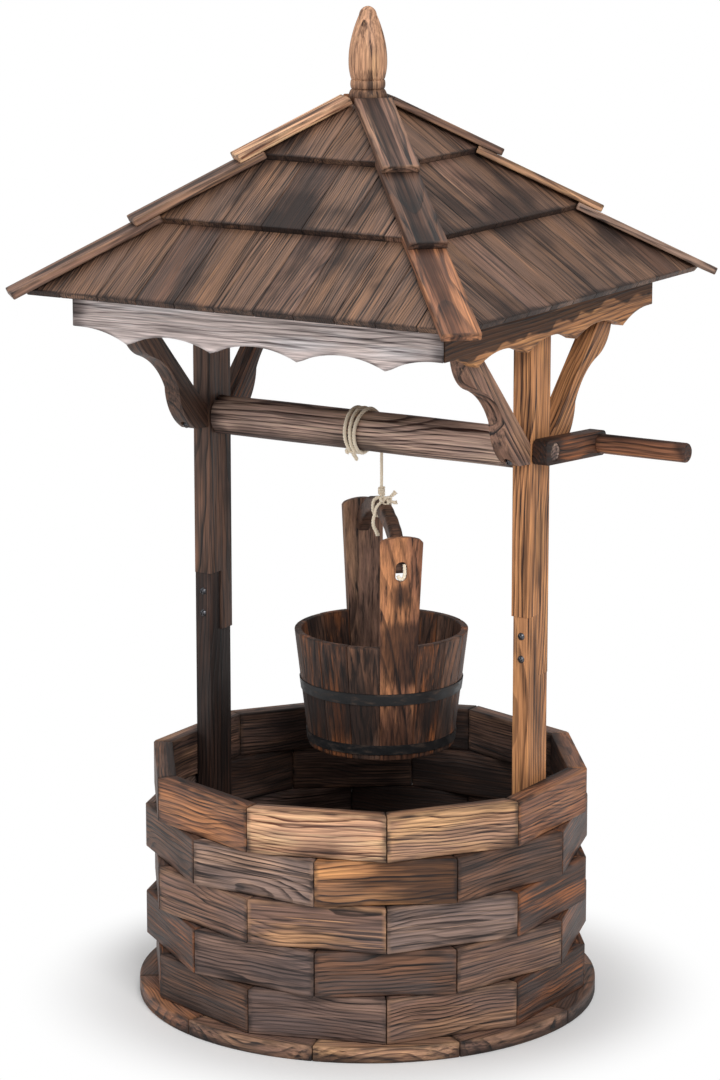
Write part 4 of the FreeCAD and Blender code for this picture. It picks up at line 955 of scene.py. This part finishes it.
upright = ((0, 0, 1), (0, 1, 0), (1, 0, 0))
# The left posts get darker tones and more soot than the right ones: partly the wood's colour, partly painted
# shade on the side away from the key light
postPlan = {"lower_right": ("orange", 0.0), "lower_left": ("black", 0.14), "upper_right": ("orange", 0.0),
            "upper_left": ("umber", 0.08)}
bracketPlan = {"front_right": "brown", "front_left": "umber", "back_right": "orange", "back_left": "dark"}
for seed, (part, (toneName, level)) in enumerate(postPlan.items(), 501):
    copyPiece(nameOf("post", part), f"post_{part}", "post", "frame", [toneName], upright, seed, soot=[level])
for seed, (part, toneName) in enumerate(bracketPlan.items(), 511):
    way = 1 if part.startswith("back") else -1
    copyPiece(nameOf("bracket", part), f"bracket_{part}", "post", "frame", [toneName],
              ((0, way * 0.70, 0.714), (0, -way * 0.714, 0.70), (1, 0, 0)), seed)
copyPiece("crankArm", "crank_arm", "arm", "windlass", ["dark"],
          ((0, 0.9976, -0.0698), (0, 0.0698, 0.9976), (1, 0, 0)), 521, 1.6)
copyPiece("apexBlock", "apex_block", "dark", "frame", ["umber"], upright, 531, 0.6)
print("posts, brackets and crank arm made")


# Bucket, in its own upright frame and then turned and moved to where it hangs
bucketPlan = {
    "centre": (3.0, 25.3), "base": 288.0, "turn": -47.3, "height": 135, "baseRadius": 83.3, "rimRadius": 99.5,
    "thickness": 8, "staves": 14, "tallAngle": 25.2, "gap": 0.5, "bottomLow": 10, "bottomHigh": 18,
    "bottomBoards": 3, "hoopThickness": 1.3, "hoops": {"upper": (65.5, 13.5), "lower": (6, 11.5)},
    "bowRadius": 168, "bowDepth": 17, "bowWidth": 15, "bowCentre": 116, "bowSweep": 46, "holeHeight": 224,
    "loopGap": 2.2, "staveEdges": (0.9, 0.8, 1.8), "bottomEdges": (0.6, 0.6, 1.5),
}
bucketAxes = np.array([turned(way, bucketPlan["turn"]) for way in ((1, 0, 0), (0, 1, 0), (0, 0, 1))])
bucketOrigin = np.array((*bucketPlan["centre"], bucketPlan["base"]))
staveSlope = (bucketPlan["rimRadius"] - bucketPlan["baseRadius"]) / bucketPlan["height"]
staveAngle = (180 - bucketPlan["tallAngle"]) / (bucketPlan["staves"] / 2)
staveTones = "dark umber dark dark umber dark umber dark umber dark umber dark dark umber"


def hung(points):
    return points @ bucketAxes + bucketOrigin


# Plan of a stave at a level: outer arc, then inner arc, with a small gap to its neighbours
def staveOutline(plan, level):
    outer = plan["baseRadius"] + staveSlope * level
    half = math.radians(staveAngle) / 2
    rim = [polar(radius, np.linspace(-way, way, 7) * (half - plan["gap"] / 2 / radius))
           for radius, way in ((outer, 1), (outer - plan["thickness"], -1))]
    return np.concatenate(rim)


def makeStaves(plan):
    generator = seeded(601)
    top, bottom = staveOutline(plan, plan["height"]), staveOutline(plan, 0)
    boards = []
    for number, tone in enumerate(staveTones.split()):
        board = boardMesh(top, 0, plan["height"] - generator.uniform(0, 0.6), plan["staveEdges"], bottom)
        side, place = divmod(number, plan["staves"] // 2)
        board = standing(board, 180 * side + plan["tallAngle"] / 2 + staveAngle * (place + 0.5))
        board["points"] = hung(board["points"])
        boards.append(grained(board, tone, generator, (2, 1, 0)))
    return buildPiece("bucketStaves", boards, "bucket", "bucket", "bucket_staves")


def makeTallStaves():
    axes = bucketAxes[::-1]
    middle = axes[2] @ bucketOrigin
    return copyPiece("bucketTallStaves", "handle_staves", "tallStave", "bucket", ["rust", "brown"], axes, 631,
                     0.9, [0.0, -0.2], lambda local: local[:, 2] > middle)


# A disc cut into boards
def makeBottom(plan):
    generator = seeded(611)
    radius = plan["baseRadius"] - plan["thickness"] + 2
    disc = polar(radius, np.linspace(0, 2 * math.pi, 72, endpoint=False))
    width = radius * 2 / plan["bottomBoards"]
    boards = []
    for number in range(plan["bottomBoards"]):
        low, high = number * width - radius + 0.3, (number + 1) * width - radius - 0.3
        outline = clipConvex(clipConvex(disc, (0, 1), high), (0, -1), -low)
        board = boardMesh(outline, plan["bottomLow"], plan["bottomHigh"], plan["bottomEdges"])
        boards.append(grained(framed(board, *bucketAxes, bucketOrigin), "rust", generator, soot=0.05))
    return buildPiece("bucketBottom", boards, "bucket", "bucket", "bucket_bottom")


# A band: its rounded section is carried round the cone, closed on itself, with slight dents
def makeHoop(plan, name):
    low, width = plan["hoops"][name]
    angle = np.linspace(0, 2 * math.pi, 160, endpoint=False)
    edge = plan["hoopThickness"] / 2
    arc = np.linspace(-math.pi / 2, math.pi / 2, 5)
    x = edge + edge * np.cos(arc) * 0.9
    rounds = [np.stack([x, middle + edge * np.sin(arc)], 1) for middle in (width - edge, edge)]
    section = np.concatenate([*rounds, [(0.1, width), (0.1, 0.0)]])
    section = section[np.argsort(np.arctan2(section[:, 1] - width / 2, section[:, 0] - edge))]
    level = low + section[:, 1]
    radius = plan["baseRadius"] + staveSlope * level + section[:, 0] + 0.05
    dent = 1 + 0.0016 * np.sin(3 * angle + low) + 0.0009 * np.sin(7 * angle)
    heights = np.repeat(level[:, None, None], len(angle), 1)
    points = np.concatenate([polar(radius[:, None] * dent, angle), heights], -1).reshape(-1, 3)
    index = np.arange(len(points)).reshape(len(section), len(angle))
    ahead, over = np.roll(index, -1, 1), np.roll(index, -1, 0)
    quads = np.stack([index, ahead, np.roll(over, -1, 1), over], -1).reshape(-1, 4)
    mesh = bpy.data.meshes.new(nameOf("bucketHoop", name))
    mesh.from_pydata((hung(points) * mm).tolist(), [], quads.tolist())
    return finishPiece(mesh.name, mesh, "hoop", "bucket", f"hoop_{name}", 60)


# The rounded section of the bow handle along its arch; the ends stop inside the tall staves
def makeBow(plan):
    generator = seeded(621)
    outside, inside = plan["bowRadius"], plan["bowRadius"] - plan["bowDepth"]
    wide = plan["bowWidth"] / 2
    section, onArris = insetRing(rectangle(inside, -wide, outside, wide), 0, 3.0, 2.0, 4)
    angle = np.radians(np.linspace(-plan["bowSweep"], plan["bowSweep"], 61))[:, None]
    scale = 1 + 0.006 * np.sin(angle * 31) * np.sin(angle * 13 + 1)
    radius = section[:, 0] * scale
    z = plan["bowCentre"] + radius * np.cos(angle)
    limit = plan["baseRadius"] - plan["thickness"] + staveSlope * z + 1.5
    x = np.clip(radius * np.sin(angle), -limit, limit)
    local = np.stack(np.broadcast_arrays(angle * outside, section[:, 1], section[:, 0] - inside), -1)
    points = hung(np.stack([x, section[:, 1] * scale, z], -1))
    board = {
        "points": points.reshape(-1, 3), "local": local.reshape(-1, 3),
        "arris": np.tile(onArris.astype(float), len(angle)), **gridFaces(len(angle), len(section)),
    }
    grained(board, "umber", generator, (1, 0, 2), soot=-0.1, pith=(0.0, -0.012))
    return buildPiece("bucketBow", [board], "dark", "bucket", "bucket_handle", 40)


makeStaves(bucketPlan)
makeTallStaves()
makeBottom(bucketPlan)
for hoopName in bucketPlan["hoops"]:
    makeHoop(bucketPlan, hoopName)
makeBow(bucketPlan)
print("bucket made")


# Rope: twisted strands round a smooth spline
ropePlan = {
    "diameter": 4.5, "strands": 3, "lay": 10.5, "pitch": 8, "firstAngle": -55, "lastAngle": 862,
    "windingRadius": 25.3, "spread": 1.035, "x": 3.0, "dropTop": 650.2, "dropEnd": 587.2, "knot": 581.9,
    "dropShare": 0.85, "dropAngle": 882, "dropHeights": (649, 630, 610),
    # the turns reach span to both sides of their middle, up to fullAngle, and gather under the log
    "fullAngle": 900, "span": 10.6, "gather": 0.22, "gatherAngle": 150, "weave": 0.5, "weaves": 2.3,
}
# The hitch rises by its height over fullTurn radians
hitchPlan = {
    "turns": 3.1, "side": 2.9, "depth": 2.7, "height": 8.2, "fullTurn": 19.5, "diameter": 2.9, "lay": 7.5,
    "coreReach": 5.6, "coreDiameter": 4.0, "coreLay": 9,
}


# The way travelled at each point of a line
def travelOf(line):
    return np.concatenate([[0], np.cumsum(np.linalg.norm(np.diff(line, axis=0), axis=1))])


# Evenly spaced points of the smooth spline that has these control points, and its length
def splinePoints(points, step=0.9):
    curve = bpy.data.curves.new("ropeRoute", "CURVE")
    curve.dimensions = "3D"
    curve.resolution_u = 16
    spline = curve.splines.new("NURBS")
    spline.points.add(len(points) - 1)
    for point, place in zip(spline.points, points):
        point.co = (*place, 1)
    spline.order_u = 3
    spline.use_endpoint_u = True
    holder = bpy.data.objects.new("ropeRoute", curve)
    scene.collection.objects.link(holder)
    mesh = bpy.data.meshes.new_from_object(holder)
    line = np.array([v.co for v in mesh.vertices], float)
    bpy.data.objects.remove(holder)
    bpy.data.curves.remove(curve)
    bpy.data.meshes.remove(mesh)
    travelled = travelOf(line)
    even = np.linspace(0, travelled[-1], max(4, int(travelled[-1] / step) + 1))
    return np.stack([np.interp(even, travelled, values) for values in line.T], 1), travelled[-1]


# Each strand is a small tube on a helix round the line: centre = line + reach (cos, sin) of an angle that
# grows with the way travelled; aside is a direction, or one for each point, that the line never runs along,
# and slack widens the rope along its way
def twistedRope(line, aside, diameter, lay, phase=0.0, slack=1.0, thick=0.275, sides=8):
    way = unit(np.gradient(line, axis=0))
    first = unit(aside - (way * aside).sum(1)[:, None] * way)
    second = np.cross(way, first)
    travelled = travelOf(line)
    thick = thick * diameter
    size = (np.ones(len(line)) * slack)[:, None]
    around = np.arange(sides) * 2 * math.pi / sides
    spoke = np.cos(around)[:, None] * first[:, None] + np.sin(around)[:, None] * second[:, None]
    boards = []
    for strand in range(ropePlan["strands"]):
        angle = (phase + 2 * math.pi * (travelled / lay + strand / ropePlan["strands"]))[:, None]
        centre = line + (diameter / 2 - thick) * size * (np.cos(angle) * first + np.sin(angle) * second)
        points = centre[:, None] + spoke * thick * size[:, None]
        grain = np.stack(np.broadcast_arrays(travelled[:, None] * mm, around + angle, float(strand)), -1)
        boards.append({"points": points.reshape(-1, 3), "grain": grain.reshape(-1, 3),
                       **gridFaces(len(line), sides, True)})
    return boards, phase + 2 * math.pi * travelled[-1] / lay


# A point of the winding: the angle runs from the front over the top, and the turns close up under the log
def windingPoint(plan, angle, radius):
    turn = math.radians(angle)
    left = plan["fullAngle"] - angle
    along = plan["span"] - plan["pitch"] * left / 360
    gather = plan["gather"] * (1 - math.sin(turn)) * min(1, max(0, left / plan["gatherAngle"]))
    x = plan["x"] - plan["span"] + along * (1 - gather) + plan["weave"] * math.sin(plan["weaves"] * turn)
    return np.array([x, -radius * math.cos(turn), windlassPlan["height"] + radius * math.sin(turn)])


def buildRope(name, boards, body, node):
    return buildPiece(name, boards, "rope", body, node, 70)


# The turns on the log, set out a little so that the spline lies on it, and the drop down to the knot
def makeRopes(plan):
    diameter, x, y = plan["diameter"], plan["x"], plan["windingRadius"]
    radius = y * plan["spread"]
    angles = np.linspace(plan["firstAngle"], plan["lastAngle"], 33)
    line, length = splinePoints([windingPoint(plan, angle, radius) for angle in angles])
    boards, phase = twistedRope(line, (1, 0, 0), diameter, plan["lay"])
    winding = buildRope("ropeWinding", boards, "windlass", "rope_winding")

    route = [(x, y, height) for height in (*plan["dropHeights"], plan["dropEnd"] - 1)]
    line, length = splinePoints([line[-1], windingPoint(plan, plan["dropAngle"], radius), *route])
    boards = twistedRope(line, (1, 0, 0), diameter * plan["dropShare"], plan["lay"], phase)[0]
    drop = buildRope("ropeDrop", boards, None, "rope_drop")
    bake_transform(drop)


# An overhand knot: x = sin t + 2 sin 2t, y = cos t - 2 cos 2t, z = -sin 3t, left open; its strands turn
# about the direction away from the knot's middle
def overhandKnot(centre, size, axes):
    t = np.linspace(0.35, 5.9, 90)
    shape = np.stack([np.sin(t) + 2 * np.sin(2 * t), np.cos(t) - 2 * np.cos(2 * t), -np.sin(3 * t)], 1) / 3
    return closeTurns(centre + (shape * np.array(size)) @ np.array(axes, float), 3.7, 8.5)


def closeTurns(line, diameter, lay):
    return twistedRope(line, line - line.mean(0), diameter, lay, thick=0.29)[0]


# The cord to the bucket ends in a hitch: three close turns round the standing part
def makeKnot(plan, centre):
    depth, side, up = bucketAxes
    turn = np.linspace(0, plan["turns"] * 2 * math.pi, 70)[:, None]
    line = centre + plan["side"] * np.cos(turn) * side + plan["depth"] * np.sin(turn) * depth
    line = line + (turn / plan["fullTurn"] - 0.5) * plan["height"] * up
    core = np.linspace(centre + up * plan["coreReach"], centre - up * plan["coreReach"], 14)
    boards = closeTurns(line, plan["diameter"], plan["lay"])
    boards += twistedRope(core, depth, plan["coreDiameter"], plan["coreLay"])[0]
    return buildRope("ropeKnot", boards, "knot", "rope_knot")


# Stopper knot on the log, below the front, with a tail that opens
def makeStopper(plan):
    first = windingPoint(plan, plan["firstAngle"] - 9, plan["windingRadius"] + 1.0)
    turn = math.radians(plan["firstAngle"])
    outward = np.array([0, -math.cos(turn), math.sin(turn)])
    along = np.array([0, math.sin(turn), math.cos(turn)])
    boards = overhandKnot(first, (6.4, 5.6, 4.6), ((1, 0, 0), along, outward))
    stops = ((2, 0), (6, 1.5), (10, 1), (15, 2.5))
    tail, _ = splinePoints([first - along * down + outward * out for down, out in stops])
    boards += twistedRope(tail, (1, 0, 0), 3.9, 9, slack=np.linspace(1, 1.3, len(tail)))[0]
    return buildRope("ropeStopper", boards, "windlass", "winding_knot")


# Pieces of cord on the bucket, in its own frame: points, diameter and how much the end frays; the last
# one is hooked in the front stave's hole, whose face lies at hole
def loopRoutes(hole):
    return [
        ([(0, 1.0, 289), (5, -0.5, 289.5), (11, 0, 288), (18, 1.5, 286.5)], 3.8, 0.0),
        ([(20, 1.0, 287), (19, 5.5, 290), (17, 9.5, 292), (16.5, 13, 295.5)], 3.6, 0.7),
        ([(21, 2.0, 286), (23, 6.5, 286.5), (24, 10, 284), (25, 12.5, 285.5)], 3.5, 0.5),
        ([(20, -3.0, 286), (19, -9.6, 281), (19, -11.6, 272), (19, -13.8, 264), (20, -13.4, 257),
          (23, -10.6, 252.5), (27, -9.6, 248.5)], 3.9, 0.35),
        ([(hole, 3.6, 232.5), (hole + 1.0, 3.9, 226), (hole + 1.4, 3.7, 220), (hole + 1.2, 1.6, 215.2),
          (hole + 1.0, -1.8, 215.4), (hole + 0.4, -4.1, 219.5)], 4.3, 0.0),
    ]


# Two wraps round the bow, on a squared circle |x|^3 + |y|^3 = 1, a knot that lies on it with frayed stubs,
# a wavy tail beside it, and the hooked end
def makeBowLoop(plan):
    loopHalf, rise = plan["bowWidth"] / 2 + plan["loopGap"], plan["bowDepth"] / 2 + plan["loopGap"]
    middle = plan["bowCentre"] + plan["bowRadius"] - plan["bowDepth"] / 2
    angle = np.linspace(0.5 * math.pi, 4.6 * math.pi, 53)
    square = (np.abs(np.cos(angle)) ** 3 + np.abs(np.sin(angle)) ** 3) ** (-1 / 3)
    wraps = np.stack([
        np.linspace(-3.2, 3.6, 53) + 0.8 * np.sin(angle), square * np.cos(angle) * loopHalf,
        middle + square * np.sin(angle) * rise,
    ], 1)
    boards = []
    hole = plan["baseRadius"] + staveSlope * plan["holeHeight"] - 1.5
    for points, diameter, fray in [(wraps, 3.9, 0.0), *loopRoutes(hole)]:
        line, _ = splinePoints(points)
        swell = 1 + fray * np.linspace(0, 1, len(line)) ** 3
        aside = bucketAxes[1] if fray and points[0][1] > 0 else bucketAxes[0]
        boards += twistedRope(hung(line), aside, diameter, 9.5, slack=swell)[0]
    depth, side, up = bucketAxes
    boards += overhandKnot(hung(np.array([20.5, 0.5, 287.0])), (6.6, 5.2, 4.4), (side, up, depth))
    return buildRope("ropeLoop", boards, "bucket", "handle_ropes")


makeRopes(ropePlan)
makeKnot(hitchPlan, np.array([ropePlan["x"], ropePlan["windingRadius"], ropePlan["knot"]]))
makeStopper(ropePlan)
makeBowLoop(bucketPlan)
print("ropes made")


# Screws: on the posts' front faces, and on the brackets' sides
screwPlan = {
    "radius": 4.3, "dome": 2.6, "slotHalf": 0.75, "slotReach": 2.5, "slotDepth": 1.3, "sides": 48,
    "across": 211.17, "postFace": -21, "postLevels": (422, 448), "bracketFace": 52, "bracketLevel": 650,
}


# Height over the disc: dome (1 - (r/R)^2.6), less a cross-shaped recess
def screwHead(plan, place, normal, turn):
    normal = np.array(normal, float)
    first = unit(np.cross(normal, (0.3, 0.2, 0.9)))
    second = np.cross(normal, first)
    share = np.concatenate([np.linspace(0.05, 0.75, 12), [0.84, 0.92, 0.98, 1.0, 1.0]])[:, None]
    angle = np.arange(plan["sides"]) * 2 * math.pi / plan["sides"]
    disc = polar(share * plan["radius"], angle + turn)
    near, far = np.abs(disc).min(-1), np.abs(disc).max(-1)
    height = plan["dome"] * (1 - share ** 2.6) - plan["slotDepth"] * (
        (near < plan["slotHalf"]) & (far < plan["slotReach"]))
    height[-1] = -0.4
    points = np.concatenate([disc, height[..., None]], -1) @ np.array([first, second, normal])
    return {"points": (points + place).reshape(-1, 3), **gridFaces(len(share), plan["sides"])}


def makeScrews(plan):
    heads = []
    for way in (-1, 1):
        x = way * plan["across"]
        heads += [screwHead(plan, (x, plan["postFace"], z), (0, -1, 0), 0.3 * z) for z in plan["postLevels"]]
        heads += [screwHead(plan, (x, side * plan["bracketFace"], plan["bracketLevel"]), (0, side, 0), 0.7)
                  for side in (-1, 1)]
    return buildPiece("frameScrews", heads, "screw", "frame", "frame_screws", 30)


makeScrews(screwPlan)
print("screws made")


# Studio: a pale floor that fades to white, soft light from above and the right
studioPlan = {
    "floorHalf": 14, "floorTone": (0.86, 0.86, 0.86, 1), "fade": (0.27, 0.41), "worldLight": 0.45,
    # place, aim, size and power of each lamp
    "lamps": {
        "keyLight": ((2.6, -2.4, 3.0), (0, 0, 0.6), 1.8, 105),
        "fillLight": ((-2.8, -2.6, 1.8), (0, 0, 0.5), 2.4, 32),
        "topLight": ((-0.4, 0.4, 3.6), (0, 0, 0.9), 2.6, 40),
    },
}


# 1 for the rays of the camera and of one other kind, which see a white background
def seenBy(tree, other):
    rays = tree.node("LightPath", {}).node.outputs
    return tree.maths("MAXIMUM", rays["Is Camera Ray"], rays[other])


def makeFloorAndWorld(plan):
    mesh = bpy.data.meshes.new("studioFloor")
    half = plan["floorHalf"]
    corners = np.column_stack([rectangle(-half, -half, half, half), np.zeros(4)])
    mesh.from_pydata(corners.tolist(), [], [(0, 1, 2, 3)])
    floor = bpy.data.objects.new("studioFloor", mesh)
    scene.collection.objects.link(floor)
    material, tree, skin = newMaterial("studioWhite")
    tree.feed(skin, {"Base Color": plan["floorTone"], "Roughness": 0.9, "Specular IOR Level": 0.0})
    away = tree.node("VectorMath", {0: tree.place()}, "Value", operation="LENGTH")
    fade = tree.times(tree.step(away, *plan["fade"]), seenBy(tree, "Is Glossy Ray"))
    glow = tree.node("Emission", {"Color": (1, 1, 1, 1), "Strength": 1.0})
    mix = tree.node("MixShader", {0: fade, 1: skin.outputs[0], 2: glow})
    tree.feed(material.node_tree.nodes["Material Output"], {"Surface": mix})
    mesh.materials.append(material)

    world = bpy.data.worlds.new("studioWorld")
    world.use_nodes = True
    scene.world = world
    tree = ShaderTree(world.node_tree)
    dim = plan["worldLight"]
    strength = tree.timesPlus(seenBy(tree, "Is Transmission Ray"), 1 - dim, dim)
    tree.feed(world.node_tree.nodes["Background"], {"Color": (1, 1, 1, 1), "Strength": strength})


def makeLamps(lamps):
    for name, (place, aim, size, power) in lamps.items():
        data = bpy.data.lights.new(name, "AREA")
        data.shape = "SQUARE"
        data.size = size
        data.energy = power
        lamp = bpy.data.objects.new(name, data)
        lamp.location = place
        way = np.array(place) - np.array(aim)
        lamp.rotation_euler = (math.atan2(math.hypot(way[0], way[1]), way[2]), 0, math.atan2(way[0], -way[1]))
        scene.collection.objects.link(lamp)


makeFloorAndWorld(studioPlan)
makeLamps(studioPlan["lamps"])
scene.view_settings.view_transform = "Standard"
print("scene ready")
